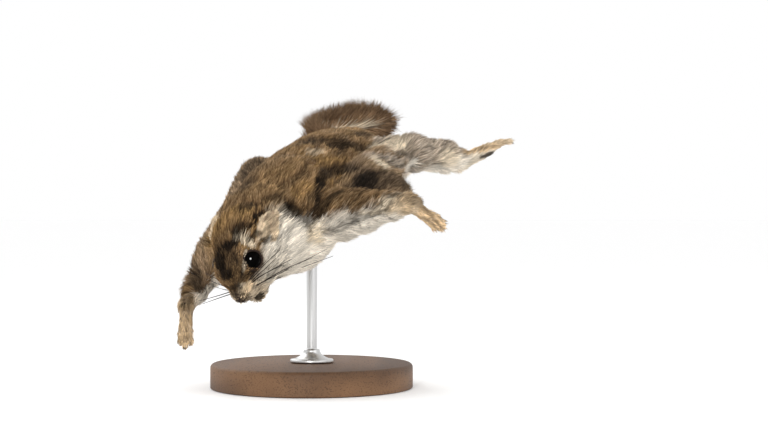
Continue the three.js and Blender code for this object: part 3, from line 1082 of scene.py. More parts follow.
    @staticmethod
    def normals(points: Vec, faces: Vec) -> Vec:
        """Works out how the skin faces.

        Args:
            points: Its points.
            faces: Its faces.

        Returns:
            The outward direction at each point.
        """
        a, b, c, d = (points[faces[:, corner]] for corner in range(4))
        cross = np.cross(c - a, d - b)
        total = np.zeros_like(points)
        for corner in range(4):
            for axis in range(3):
                total[:, axis] += np.bincount(faces[:, corner], cross[:, axis], len(points))
        return unit(total)

    def comb_tail(self, hide: Hide) -> None:
        """Combs the tail's hair out to both sides and towards its tip.

        Args:
            hide: The skin, changed in place.
        """
        tail = self.flesh.tail
        chosen = np.flatnonzero(among(hide.part, Part.TAIL))
        share, index, offset = tail.read(hide.points[chosen])
        side = np.clip(offset / (0.16 * tail.reach(share)), -1, 1)
        lean = tail.lean(share)
        out = (side * np.cos(lean))[:, None] * tail.across[index]
        onward = (np.sin(lean) + 0.5 * (1 - np.abs(side)))[:, None] * tail.along[index]
        hide.lie[chosen] = unit(out + onward)
        trimmed = 0.1 * (1 - ease(share, 0.05, 0.3)) + 0.08 * ease(share, 0.85, 1)
        full = tail.reach(share) * (0.86 - trimmed)
        hide.length[chosen] = np.maximum(full - 0.66 * np.abs(offset), 4.4)
        hide.width[chosen] = BRUSH.width
        hide.lift[chosen] = 0.1 + 0.1 * (1 - np.abs(side))
        hide.thick[chosen] = BRUSH.thick

    def trim(self, hide: Hide) -> None:
        """Shortens the hair towards the nose, round the eyes and at the ears, and bares the lids.

        Args:
            hide: The skin, changed in place.
        """
        place = self.flesh.bones.head.read(hide.points)
        near = among(hide.part, Part.HEAD)
        hide.length[near] *= (1 - 0.35 * ease(place[:, 0], -6, 13))[near]
        for side in (1, -1):
            gap = self.flesh.eye_gap(hide.points, side)
            hide.length *= np.where(near, 0.35 + 0.65 * ease(gap, 0.4, 4 if side > 0 else 2), 1)
            hide.thick *= np.where(gap < 0.35, 0, 1)
            hide.length *= 0.42 + 0.58 * ease(apart(hide.points, self.flesh.ear_middle(side)), 5.5, 10)
        ears = among(hide.part, Part.EARS)
        hide.length[ears], hide.width[ears], hide.lift[ears] = EAR.length, EAR.width, EAR.lift


class Tone(Enum):
    """What a patch of the coat is."""

    # Slate-dark fur; some of its patches are painted shadow, in the deep hollow beside the arm's fold
    # and on the belly.
    SLATE = "slate"
    GOLD = "gold"
    CREAM = "cream"
    GREY = "grey"
    # A darkening of pale fur: a duskier tone on head, neck and paws, and painted shade on the belly.
    DUSK = "dusk"
    TAN = "tan"


@dataclass(frozen=True)
class Patch:
    """A patch of a tone, placed where the sight line of one pixel of the photo meets the skin."""

    column: float
    row: float
    long: float
    wide: float
    turn: float = 0
    strength: float = 1


@dataclass(frozen=True)
class Eyepiece:
    """The camera: where it stands and how it sees."""

    place: Vec = fixed(30, -935, 71)
    width: int = 768
    height: int = 432
    focal: float = 2250
    sensor: float = 36

    def ray(self, pixel: tuple[float, float]) -> Vec:
        """Returns the direction of the sight line through a pixel."""
        across = (pixel[0] - self.width / 2) / self.focal
        down = (self.height / 2 - pixel[1]) / self.focal
        return unit(vec(across, 1, down))

    def make(self) -> None:
        """Makes the camera and gives it to the scene."""
        data = bpy.data.cameras.new("camera")
        data.sensor_width = self.sensor
        data.lens = self.focal / self.width * self.sensor
        camera = bpy.data.objects.new("camera", data)
        camera.location = Vector(self.place) * METRE
        camera.rotation_euler = (math.pi / 2, 0, 0)
        bpy.context.scene.collection.objects.link(camera)
        bpy.context.scene.camera = camera


PATCHES = {
    Tone.SLATE: [
        Patch(240, 228, 5.4, 2, 15, 0.9), Patch(246, 208, 4.4, 1.9, 20, 0.8),
        Patch(256, 234, 3, 1.4, 20, 0.85), Patch(267, 239, 3.2, 1.3, 10, 0.65),
        Patch(275, 199, 4.8, 2.3, 10, 0.75), Patch(291, 181, 6, 2, 35, 0.55),
        Patch(292, 211, 5.2, 3.6, -40, 0.9), Patch(303, 221, 4.6, 2.9, -30, 0.75),
        Patch(314, 216, 6.4, 2, 28, 0.8), Patch(316, 143, 8, 2.2, 6, 0.7),
        Patch(340, 145, 7.5, 3.2, 8, 0.85), Patch(361, 150, 4.8, 2.2, 10, 0.75),
        Patch(360, 136, 5.8, 2.1, 15, 0.75), Patch(319, 197, 2.6, 4.6, 0, 0.95),
        Patch(320, 184, 2.5, 5, -5), Patch(404, 190, 3.4, 3, 0, 0.75),
        Patch(421, 205.5, 4.6, 1.1, -42, 0.6), Patch(326, 174, 4.4, 3, 35, 0.85),
        Patch(339, 170, 6, 2.6, 6, 0.85), Patch(352, 171, 5, 2.4, -10, 0.85),
        # Painted shadow: Patch(366, 184), Patch(363, 187) and Patch(371, 178) fill the deep hollow
        # between the bulge and the membrane with near black.
        Patch(333, 197, 6, 1.3, 30, 0.8), Patch(343, 190, 5, 1, 35, 0.8), Patch(366, 184, 6, 7),
        Patch(363, 187, 4.4, 4.6), Patch(371, 178, 3.4, 4.2, 0, 0.9),
        Patch(381, 187, 6.8, 2.2, 30, 0.8), Patch(394, 182, 8.5, 5.6, -20, 0.68),
        Patch(321, 206, 6.4, 2, 30, 0.8), Patch(397, 196, 2.8, 1.2, 0, 0.8),
        Patch(220.5, 259, 2.8, 5.2, 8), Patch(228, 258, 5.2, 9, 8, 0.7),
        Patch(230, 245, 4.6, 2.8, 25), Patch(226, 272, 3.6, 2.8, 10),
        Patch(240, 275, 3.2, 3.6, 20, 0.6), Patch(235, 287, 2.6, 1.7, 0, 0.85),
        Patch(251, 272, 1.8, 1.2, 0, 0.9), Patch(260, 296, 2.2, 1.5, 30, 0.9),
        Patch(241, 300, 4.2, 1, 10, 0.6), Patch(235, 293, 2.2, 2, 0, 0.7),
        Patch(243, 192, 7, 5, 45, 0.65), Patch(250, 172, 7, 4.4, 40, 0.7),
        Patch(196, 278, 3.2, 8, 20, 0.65), Patch(186, 300, 2.6, 4, 20, 0.6),
        Patch(404, 156, 5.4, 1.5, -5, 0.5), Patch(388, 164, 4.4, 1.3, -25, 0.6),
        # Painted shade: Patch(372, 215) and Patch(345, 225) darken the belly at low strength, over grey
        # underfur that shows there too.
        Patch(438, 163, 4.4, 1.8, -30, 0.4), Patch(372, 215, 9, 1, 22, 0.5),
        Patch(386, 204, 6, 0.6, 12, 0.4), Patch(345, 225, 9, 2, 28, 0.4),
        Patch(480, 149, 9, 0.6, 14, 0.5), Patch(487, 155, 4, 1.2, 14, 0.9),
        Patch(503, 143, 3, 1.2, 20, 0.4), Patch(428, 212, 5.2, 1, -45, 0.5),
        Patch(436, 222, 4.2, 0.45, -45, 0.6), Patch(432, 224, 3.8, 0.45, -42, 0.5),
        Patch(414, 200, 5.6, 2.2, -36, 0.45), Patch(260.5, 213.5, 1.7, 1.5, 0, 0.95),
        Patch(255.5, 218, 0.9, 2.4), Patch(270, 226, 3.2, 0.8, 40, 0.45),
        Patch(264, 219, 2.4, 0.7, 35, 0.3), Patch(262, 190, 4, 1.2, 40, 0.35),
        Patch(336, 183, 4, 0.6, 35, 0.6), Patch(330, 188, 4, 0.6, 38, 0.6),
        Patch(342, 180, 4, 0.5, 30, 0.5), Patch(425, 160, 9, 2, -18, 0.3),
        Patch(254, 286, 1.6, 0.8, 20, 0.5), Patch(243, 293, 1.3, 0.8, 0, 0.7),
        Patch(249, 294, 1.1, 0.7, 20, 0.6),
    ],
    Tone.GOLD: [
        Patch(270, 185, 9, 6, 35, 0.4), Patch(311, 157, 8, 4, 20, 0.75),
        Patch(300, 192, 6, 3.6, 35, 0.9), Patch(214, 256, 3, 11, 10),
        Patch(222, 226, 3, 7, -35, 0.9), Patch(232, 214, 6, 2.4, 35, 0.9),
        Patch(246, 215, 6.5, 2, 25, 0.8), Patch(246, 246, 3.2, 1.5, 0, 0.9),
        Patch(339, 186, 7.5, 3.8, 25, 0.9), Patch(328, 163, 12, 2, 8, 0.95),
        Patch(261, 224, 4.8, 3.8, 30), Patch(244, 296, 4, 2, 0, 0.8),
    ],
    Tone.CREAM: [
        Patch(281, 214, 6, 4, -30, 0.35), Patch(314, 153, 4, 1.6, 0, 0.4), Patch(380, 149, 5, 2.8),
        Patch(395, 145, 6, 3.6, 10), Patch(381, 166, 5, 1.6, -42, 0.9),
        Patch(449, 158, 5.4, 3.6, -10, 0.75), Patch(400, 203, 9, 4.2, 5, 0.85),
        Patch(392, 209, 11, 1.6, 8), Patch(245, 239, 4.6, 2, -33, 0.7),
        Patch(245, 261, 0.9, 4.6, -5, 0.7), Patch(247, 288.5, 4, 2.6, 0, 0.6),
        Patch(350, 127, 15, 1.8, 8, 0.85), Patch(316, 234, 4, 5),
        Patch(266, 232, 3.6, 1.4, 20, 0.6), Patch(430, 214, 6, 1.4, -45, 0.4),
    ],
    Tone.GREY: [
        Patch(392, 163, 6, 3.2, -20, 0.95), Patch(408, 165, 7, 4, -25, 0.95),
        Patch(374, 158, 5, 2.6, 0, 0.8), Patch(428, 150, 20, 7, -8, 0.95),
    ],
    # Patch(352, 218) is painted shade on the belly; the others darken the neck, the ear, the far hand
    # and the membrane.
    Tone.DUSK: [
        Patch(281, 214, 8, 5.5, -30, 0.45), Patch(268, 240, 4, 3, 0, 0.4),
        Patch(352, 218, 12, 2.6, 25, 0.8), Patch(187, 320, 4.5, 9), Patch(405, 199, 5, 4, -30, 0.4),
        Patch(401, 168, 5, 3, 0, 0.5),
    ],
    Tone.TAN: [
        Patch(262, 298, 3, 2.2, 0, 0.6), Patch(480, 149, 11, 1.7, 14, 0.85),
        Patch(502, 143, 4, 3, 14, 0.7), Patch(416, 205, 6, 4, -35, 0.6),
        Patch(402, 206, 6, 1.6, 10, 0.4),
    ],
}

WHISKERS = [
    [(254.6, 286), (268, 279.5), (298, 264), (327, 249)],
    [(255.5, 287.5), (271, 281.5), (301, 268), (333, 256)],
    [(255, 286.5), (269, 278), (292, 266), (312, 258)],
    [(249, 282), (255, 275), (266, 263), (280, 250)],
    [(250, 283), (258, 275), (268, 266), (276, 258)],
    [(252, 283), (261, 276), (277, 267), (292, 259)],
    [(251, 284), (259, 277), (272, 270), (284, 265)],
    [(247, 283), (252, 276), (259, 268), (266, 261)],
    [(233, 291), (222, 294.5), (210, 298), (198, 301)],
    [(233, 293.5), (222, 297), (212, 300.5), (202.5, 304)],
]


@dataclass
class Markings:
    """The tones of the coat, the same for the skin and for the hair on it."""

    flesh: Flesh
    eyepiece: Eyepiece
    tree: BVHTree
    edge_shares: tuple[float, ...] = (0, 0.1, 0.2, 0.3, 0.42, 0.6, 1)
    edge_heights: tuple[float, ...] = (0.5, 1.0, 1.5, 2.0, 1.0, -2.0, -6.0)
    outer: Vec = fixed(-0.5, -0.75, 0.45)
    right_back: Vec = fixed(-0.5, -0.6, 0.62)

    def spine(self, points: Vec) -> tuple[Vec, Vec]:
        """Places points about the backbone.

        Args:
            points: Points on the body.

        Returns:
            Each one's share of the way from nose to tail root, and its height towards the back.
        """
        bones, body, head = self.flesh.bones, self.flesh.bones.body, self.flesh.bones.head
        knots = [head.at(14.5, 0, -2.4), head.at(4, 0, -1), head.at(-8, 0, -1), bones.neck_middle]
        knots += [body.origin, body.at(-40, 0, 2), body.at(-75, 0, 0), body.at(-98, 0, 2)]
        backs = [head.dorsal, head.dorsal, 0.8 * head.dorsal + 0.2 * body.dorsal]
        backs += [0.45 * head.dorsal + 0.65 * body.dorsal] + [body.dorsal] * 4
        shares = np.linspace(0, 1, 90)
        line = curve(knots, shares)
        back = unit(curve([unit(b) for b in backs], shares))
        found = nearest(points, line)
        return shares[found], ((points - line[found]) * back[found]).sum(1)

    def back(self, points: Vec, normals: Vec, part: Vec) -> Vec:
        """Works out where the coat is the back's and not the belly's.

        Args:
            points: Where, on the skin.
            normals: The outward direction there.
            part: The part of the body there.

        Returns:
            Values from 0 on the belly to 1 on the back.
        """
        bones, body = self.flesh.bones, self.flesh.bones.body
        share, height = self.spine(points)
        wander = noise(points, 6, 1) * 1.4 + noise(points, 2.2, 2) * 0.8
        level = np.interp(share, self.edge_shares, self.edge_heights)
        back = ease(height + wander - level, -2.0, 2.0)
        for side in (1, -1):
            for joints, kind in ((bones.arm(side), Part.ARMS), (bones.leg(side), Part.LEGS)):
                run = points - joints[0]
                along = unit(joints[2] - joints[0])
                across = run - np.outer(run @ along, along)
                ways = [body.dorsal, self.outer] if side < 0 and kind is Part.ARMS else [body.dorsal]
                offset = np.max([across @ unit(way - (way @ along) * along) for way in ways], axis=0)
                mine = among(part, kind) & (run @ (side * body.left) > -8)
                back = np.where(mine, ease(offset + 1.8 * wander, -2.0, 3.0), back)
        right = (points - bones.chest) @ body.left < 0
        facing = np.where(right, normals @ self.right_back, normals @ body.dorsal)
        back = np.where(among(part, Part.MEMBRANES), ease(facing, -0.75, -0.2), back)
        return np.where(among(part, Part.TAIL), 1, back)

    def tones(self, points: Vec, normals: Vec, part: Vec) -> dict[str, Vec]:
        """Works out every tone.

        Args:
            points: Where, on the skin.
            normals: The outward direction there.
            part: The part of the body there.

        Returns:
            Values from 0 to 1 by the tone's name.
        """
        share, _ = self.spine(points)
        back, hands = self.back(points, normals, part), self.hands(points, part)
        head, ears, paws = (among(part, kind) for kind in (Part.HEAD, Part.EARS, Part.PAWS))
        tail, sheet = among(part, Part.TAIL), among(part, Part.MEMBRANES)
        front = (head | among(part, Part.NECK)) * (1 - back)
        grain = noise(points, 1.3, 5)
        mottle = noise(points, 2.6, 6) + 0.8 * grain
        gold = 0.6 * back * ease(noise(points, 7, 7) + 0.3 * grain, 0.0, 0.8)
        found = {
            "back": np.where(paws, 0.0, np.where(ears, 0.65, back)),
            "slate": 0.55 * back * ease(mottle, 0.4, 1.1) * (1 - tail),
            "gold": np.where(ears, 0.9, gold),
            "grey": np.where(among(part, Part.LEGS), 0.9, np.where(sheet, 0.2, 0.05)),
            "dusk": front * ease(share, 0.44, 0.3),
            "tail": tail * 1.0,
            "tan": hands,
            "cream": np.where(paws & (hands < 0.5), 0.6, 0.0),
        }
        for tone, patches in PATCHES.items():
            reached = [self.reach(patch, points) for patch in patches]
            found[tone.value] = np.maximum.reduce([found[tone.value], *reached])
        place = self.flesh.bones.head.read(points)
        muzzle = head * ease(place[:, 0], 7, 10.5) * (1 - ease(place[:, 2], 1.0, 3.2))
        cheek = front * ease(share, 0.34, 0.1)
        found["cream"] = np.maximum.reduce([found["cream"], 0.6 * muzzle, 0.35 * cheek, 0.9 * ears])
        found["tan"] = np.maximum.reduce([found["tan"], 0.45 * muzzle, 0.405 * ears])
        found["bare"] = self.bare(points, head * ease(place[:, 0], 14.3, 15.4), ears, paws)
        return found

    def hands(self, points: Vec, part: Vec) -> Vec:
        """Works out where the coat is the hands' tan.

        Args:
            points: Where, on the skin.
            part: The part of the body there.

        Returns:
            Values that rise towards the wrists and are highest on the hands.
        """
        found = np.zeros(len(points))
        for side in (1, -1):
            _, elbow, wrist, tip = self.flesh.bones.arm(side)
            run = (points - elbow) @ unit(wrist - elbow)
            hand = among(part, Part.PAWS) & (apart(points, between(wrist, tip, 0.5)) < 16)
            arm = among(part, Part.ARMS) & (apart(points, wrist) < 14)
            found = np.maximum.reduce([found, hand * 0.95, arm * ease(run, 20, 30) * 0.7])
        return found

    def bare(self, points: Vec, nose: Vec, ears: Vec, paws: Vec) -> Vec:
        """Returns how bare the skin is, at the nose, the lids, the ears and the paws."""
        lids = [1 - ease(self.flesh.eye_gap(points, side), 0.5, 1.3) for side in (1, -1)]
        return np.maximum.reduce([nose, *lids, 0.3 * ears, 0.15 * paws])

    def sight(self, pixel: tuple[float, float]) -> tuple[Vec, Vec, float | None]:
        """Returns a pixel's sight line as its start, its way and how far off it meets the skin."""
        start, way = self.eyepiece.place, self.eyepiece.ray(pixel)
        return start, way, self.tree.ray_cast(Vector(start), Vector(way))[3]

    def reach(self, patch: Patch, points: Vec) -> Vec:
        """Works out how strongly a patch colours the coat.

        Args:
            patch: The patch.
            points: Where, on the skin.

        Returns:
            Its strength at each point.
        """
        start, way, far = self.sight((patch.column, patch.row))
        if far is None:
            LOG.warning("the patch at %s, %s misses the skin", patch.column, patch.row)
            return np.zeros(len(points))
        rise, run = math.sin(math.radians(patch.turn)), math.cos(math.radians(patch.turn))
        offset = points - (start + way * far)
        ways = np.array([(run, 0, rise), (-rise, 0, run), (0, 1, 0)])
        half = (patch.long, patch.wide, 2.0 * max(patch.long, patch.wide) + 2)
        reach = np.linalg.norm(offset @ ways.T / half, axis=1)
        near = reach < 2.0
        strength = np.zeros(len(points))
        rough = reach[near] + 0.35 * noise(points[near], 2.0, 11)
        strength[near] = patch.strength * (1 - ease(rough, 0.7, 1.3))
        return strength


@dataclass
class Wire:
    """A socket of a shader, on which arithmetic adds nodes."""

    paint: Paint
    socket: bpy.types.NodeSocket

    def __add__(self, other: Any) -> Wire:
        """Returns the sum."""
        return self.paint.maths("ADD", self, other)

    __radd__ = __add__

    def __sub__(self, other: Any) -> Wire:
        """Returns the difference."""
        return self.paint.maths("SUBTRACT", self, other)

    def __rsub__(self, other: Any) -> Wire:
        """Returns the difference, taken from the other."""
        return self.paint.maths("SUBTRACT", other, self)

    def __mul__(self, other: Any) -> Wire:
        """Returns the product."""
        return self.paint.maths("MULTIPLY", self, other)

    __rmul__ = __mul__

    def eased(self, low: float, high: float) -> Wire:
        """Returns a smooth step from 0 at low to 1 at high."""
        settings = {"interpolation_type": "SMOOTHSTEP"}
        return self.paint.node("MapRange", settings, {0: self, 1: low, 2: high})


@dataclass
class Paint:
    """A material whose look is written as expressions."""

    name: str
    roughness: float = 0.6
    metallic: float = 0.0
    specular: float = 0.3
    coat: float = 0.0

    def __post_init__(self) -> None:
        """Makes the material and its shader."""
        self.material = bpy.data.materials.new(self.name)
        self.material.use_nodes = True
        self.tree = self.material.node_tree
        self.shader = self.tree.nodes["Principled BSDF"]
        for socket, value in (
            ("Roughness", self.roughness),
            ("Metallic", self.metallic),
            ("Specular IOR Level", self.specular),
            ("Coat Weight", self.coat),
        ):
            self.shader.inputs[socket].default_value = value

    def node(self, kind: str, settings: dict[str, Any], values: dict[Any, Any], output: Any = 0) -> Wire:
        """Adds a node.

        Args:
            kind: Its type, without ShaderNode.
            settings: Its settings, which are set first.
            values: The values or links of its sockets, by number or name.
            output: The number or name of the output that is used.

        Returns:
            That output.
        """
        made = self.tree.nodes.new("ShaderNode" + kind)
        for name, value in settings.items():
            setattr(made, name, value)
        for socket, value in values.items():
            if isinstance(value, Wire):
                self.tree.links.new(value.socket, made.inputs[socket])
            elif isinstance(value, tuple) and len(value) == 3 and made.inputs[socket].type == "RGBA":
                made.inputs[socket].default_value = (*value, 1)
            else:
                made.inputs[socket].default_value = value
        return Wire(self, made.outputs[output])

    def maths(self, operation: str, first: Any, second: Any) -> Wire:
        """Returns the result of a Math node."""
        return self.node("Math", {"operation": operation}, {0: first, 1: second})

    def mix(self, share: Any, first: Any, second: Any) -> Wire:
        """Returns a colour a share of the way from the first to the second."""
        return self.node("Mix", {"data_type": "RGBA"}, {0: share, 6: first, 7: second}, 2)

    def shaded(self, colour: Wire, share: Wire) -> Wire:
        """Returns a colour made darker or lighter by a number."""
        return self.node("VectorMath", {"operation": "SCALE"}, {0: colour, "Scale": share})

    def read(self, name: str) -> Wire:
        """Returns the value of a mesh's attribute."""
        return self.node("Attribute", {"attribute_name": name}, {}, "Fac")

    def place(self, stretch: Colour = (1, 1, 1)) -> Wire:
        """Returns the place on the object, in metres times a stretch."""
        spot = self.node("TexCoord", {}, {}, "Object")
        return self.node("VectorMath", {"operation": "MULTIPLY"}, {0: spot, 1: stretch})

    def grain(self, scale: float, detail: float = 3, place: Wire | None = None) -> Wire:
        """Returns noise from 0 to 1, scale times a metre."""
        values = {"Vector": place or self.place(), "Scale": scale, "Detail": detail}
        return self.node("TexNoise", {}, values, "Fac")

    def set(self, socket: str, value: Wire) -> None:
        """Feeds one of the shader's sockets."""
        self.tree.links.new(value.socket, self.shader.inputs[socket])

    def bump(self, height: Wire, strength: float, distance: float) -> None:
        """Raises the surface by a height in metres of distance."""
        values = {"Height": height, "Strength": strength, "Distance": distance}
        self.set("Normal", self.node("Bump", {}, values))


@dataclass(frozen=True)
class Pigments:
    """The colours of hair, bare skin and eyes."""

    root: Colour = (0.022, 0.013, 0.007)
    brown: Colour = (0.115, 0.063, 0.026)
    tan: Colour = (0.46, 0.3, 0.15)
    ochre: Colour = (0.37, 0.215, 0.07)
    # Near black: the colour of slate fur and of the painted shadow in the hollow and on the belly.
    slate: Colour = (0.01, 0.007, 0.005)
    cream: Colour = (0.66, 0.555, 0.41)
    grey_root: Colour = (0.15, 0.12, 0.09)
    grey: Colour = (0.3, 0.24, 0.18)
    pale_grey: Colour = (0.6, 0.515, 0.42)
    tail_root: Colour = (0.6, 0.4, 0.23)
    tail_brown: Colour = (0.245, 0.152, 0.085)
    tail_tip: Colour = (0.18, 0.112, 0.063)
    paw: Colour = (0.6, 0.415, 0.23)
    white_root: Colour = (0.42, 0.36, 0.29)
    white: Colour = (0.86, 0.78, 0.66)
    nose: Colour = (0.02, 0.012, 0.009)
    flesh: Colour = (0.4, 0.25, 0.14)
    flesh_deep: Colour = (0.3, 0.17, 0.1)
    eye: Colour = (0.00002, 0.00002, 0.00002)
    iris: Colour = (0.00012, 0.00007, 0.00005)

    def coat(self, paint: Paint, along: Any, luck: Any) -> Wire:
        """Mixes the colour of hair.

        Args:
            paint: The material.
            along: How far along the hair, from 0 at its root to 1 at its tip.
            luck: A draw that makes one hair darker than another.

        Returns:
            The colour.
        """
        rise = paint.read("along").eased(0.05, 0.5) if along is None else along
        tip = paint.read("along").eased(0.45, 1.0) if along is None else along
        back, gold, slate = paint.read("back"), paint.read("gold"), paint.read("slate")
        cream, grey = paint.read("cream"), paint.read("grey")
        brown = paint.mix(rise, self.root, self.brown)
        tan = paint.mix(gold, self.tan, self.ochre)
        dorsal = paint.mix(tip * (luck * 0.75 + gold * 0.35), brown, tan)
        silver = paint.mix(rise, self.grey_root, paint.mix(luck * tip, self.grey, self.pale_grey))
        dorsal = paint.mix(grey, dorsal, silver)
        fringe = paint.mix(rise, self.tail_root, paint.mix(tip, self.tail_brown, self.tail_tip))
        dorsal = paint.mix(paint.read("tail"), dorsal, fringe)
        pale = paint.mix(rise, self.white_root, self.white)
        colour = paint.mix(back, pale, dorsal)
        colour = paint.mix(cream * (0.35 + 0.65 * rise), colour, self.cream)
        colour = paint.mix(paint.read("tan") * (0.5 + 0.5 * rise), colour, self.paw)
        # Slate patches turn the hair almost wholly black, as slate fur and as painted shadow in the
        # hollow.
        colour = paint.mix(slate * (1 - 0.12 * tip * luck), colour, self.slate)
        # The dusk mask raises the streaks' contrast and darkens the hair further; on the belly this is
        # painted shade.
        dusk = paint.read("dusk")
        dark = 0.9 * paint.maths("MAXIMUM", dusk, paint.read("tan"))
        dark = paint.maths("MAXIMUM", 0.42 + 0.58 * back, dark)
        drawn = 1 + (0.2 + 0.3 * dark) * (1.4 * luck - 0.7)
        # The streaks darken and lighten the hair strongly: partly real streaks of hair and partly
        # painted shade between its clumps.
        shade = (1 - 0.84 * dark + 1.68 * dark * paint.read("streak")) * drawn * (1 - 0.32 * dusk)
        return paint.shaded(colour, shade)


@dataclass
class Finishes:
    """Every material of the model."""

    pigments: Pigments = field(default_factory=Pigments)

    def hair(self) -> Material:
        """Returns the finish of the hair tufts."""
        paint = Paint("coat_hair", roughness=0.75, specular=0.03)
        luck = paint.read("luck")
        paint.set("Base Color", self.pigments.coat(paint, None, luck))
        paint.set("Roughness", 0.8 - 0.2 * luck)
        return paint.material

    def skin(self) -> Material:
        """Returns the finish of the skin, dark between the hairs and bare at nose, lids and paws."""
        paint = Paint("skin_hide", roughness=0.6, specular=0.08)
        luck = paint.grain(900, 2)
        colour = self.pigments.coat(paint, 0.3 + 0.2 * luck, luck)
        dark = paint.read("dark")
        flesh = paint.mix(luck * 0.6, self.pigments.flesh, self.pigments.flesh_deep)
        flesh = paint.mix(dark, flesh, self.pigments.nose)
        paint.set("Base Color", paint.mix(paint.read("bare"), colour, flesh))
        fine = paint.grain(2600, 4)
        paint.bump(fine + 0.6 * luck, 0.5, 0.0003)
        paint.set("Roughness", 0.42 + 0.35 * fine)
        return paint.material

    def eye(self) -> Material:
        """Returns the wet black of an eye with a deep brown iris."""
        paint = Paint("eye_gloss", roughness=0.015, specular=0.02)
        cloud = paint.grain(700, 3)
        paint.set("Base Color", paint.mix(cloud * 0.6, self.pigments.eye, self.pigments.iris))
        return paint.material

    def horn(self) -> Material:
        """Returns the horn of a claw, streaked darker and lighter."""
        paint = Paint("claw_horn", roughness=0.3, specular=0.5)
        streak = paint.grain(2500, 3)
        horn = paint.mix(streak.eased(0.3, 0.7), (0.05, 0.035, 0.025), (0.16, 0.11, 0.075))
        paint.set("Base Color", horn)
        paint.set("Roughness", 0.25 + 0.25 * streak)
        return paint.material

    def whisker(self) -> Material:
        """Returns the stiff dark hair of a whisker."""
        paint = Paint("whisker_hair", roughness=0.5, specular=0.1)
        streak = paint.grain(1500, 2)
        paint.set("Base Color", paint.mix(streak, (0.006, 0.004, 0.003), (0.02, 0.013, 0.009)))
        return paint.material

    def tooth(self) -> Material:
        """Returns the enamel of an incisor."""
        paint = Paint("tooth_enamel", roughness=0.2, specular=0.5, coat=0.4)
        cloud = paint.grain(1800, 2)
        paint.set("Base Color", paint.mix(cloud, (0.83, 0.72, 0.5), (0.7, 0.5, 0.25)))
        return paint.material

    def wood(self) -> Material:
        """Returns oiled walnut, its grain along the base."""
        paint = Paint("base_walnut", roughness=0.55, specular=0.3)
        place = paint.place((1, 0.11, 1))
        figure = paint.grain(95, 5, place)
        rings = {0: place, "Scale": 26, "Distortion": 7, "Detail": 3}
        ring = paint.node("TexWave", {"wave_type": "RINGS"}, rings, "Fac")
        pores = paint.grain(1900, 2, paint.place((1, 0.06, 1))).eased(0.52, 0.68)
        tone = paint.mix(0.55 * ring + 0.45 * figure, (0.055, 0.026, 0.012), (0.21, 0.11, 0.052))
        paint.set("Base Color", paint.mix(pores * 0.5, tone, (0.025, 0.012, 0.006)))
        paint.set("Roughness", 0.5 + 0.2 * figure)
        paint.bump(1 - pores, 0.25, 0.0002)
        return paint.material

    def steel(self) -> Material:
        """Returns brushed steel."""
        paint = Paint("stand_steel", roughness=0.3, metallic=1.0, specular=0.5)
        brush = paint.grain(2200, 3, paint.place((1, 1, 0.05)))
        paint.set("Base Color", paint.mix(brush, (0.5, 0.5, 0.5), (0.66, 0.66, 0.65)))
        paint.set("Roughness", 0.22 + 0.2 * brush)
        return paint.material


@dataclass
class Maker:
    """Turns points and faces into pieces that ride on the body."""

    finishes: Finishes

    def piece(self, name: str, shape: Mesh, material: Material, slot: str) -> Piece:
        """Makes a piece.

        Args:
            name: Its name.
            shape: Its points, in millimetres, and its faces, where a last corner given twice is one.
            material: Its finish.
            slot: Not used.

        Returns:
            The piece.
        """
        points, faces = shape
        kept = np.ones(faces.shape, bool)
        kept[:, -1] = faces[:, -1] != faces[:, -2]
        corners = kept.sum(1)
        mesh = bpy.data.meshes.new(name)
        mesh.vertices.add(len(points))
        mesh.loops.add(int(corners.sum()))
        mesh.polygons.add(len(faces))
        mesh.vertices.foreach_set("co", (points * METRE).astype(np.float32).ravel())
        mesh.loops.foreach_set("vertex_index", faces[kept].astype(np.int32))
        mesh.polygons.foreach_set("loop_start", (np.cumsum(corners) - corners).astype(np.int32))
        mesh.update(calc_edges=True)
        mesh.polygons.foreach_set("use_smooth", np.ones(len(faces), bool))
        mesh.materials.append(material)
        piece = bpy.data.objects.new(name, mesh)
        bpy.context.scene.collection.objects.link(piece)
        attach(piece, "root")
        LOG.info("%s: %d points, %d faces", name, len(points), len(faces))
        return piece

    @staticmethod
    def store(piece: Piece, name: str, values: Vec) -> None:
        """Stores a value at each of a piece's points."""
        attribute = piece.data.attributes.new(name, "FLOAT", "POINT")
        attribute.data.foreach_set("value", values.astype(np.float32))


@dataclass
class Tufts:
    """The tufts of one piece: where each grows and on what part, how it points and how large it is."""

    root: Vec
    normal: Vec
    lie: Vec
    kind: Vec
    length: Vec
    lift: Vec
    width: Vec


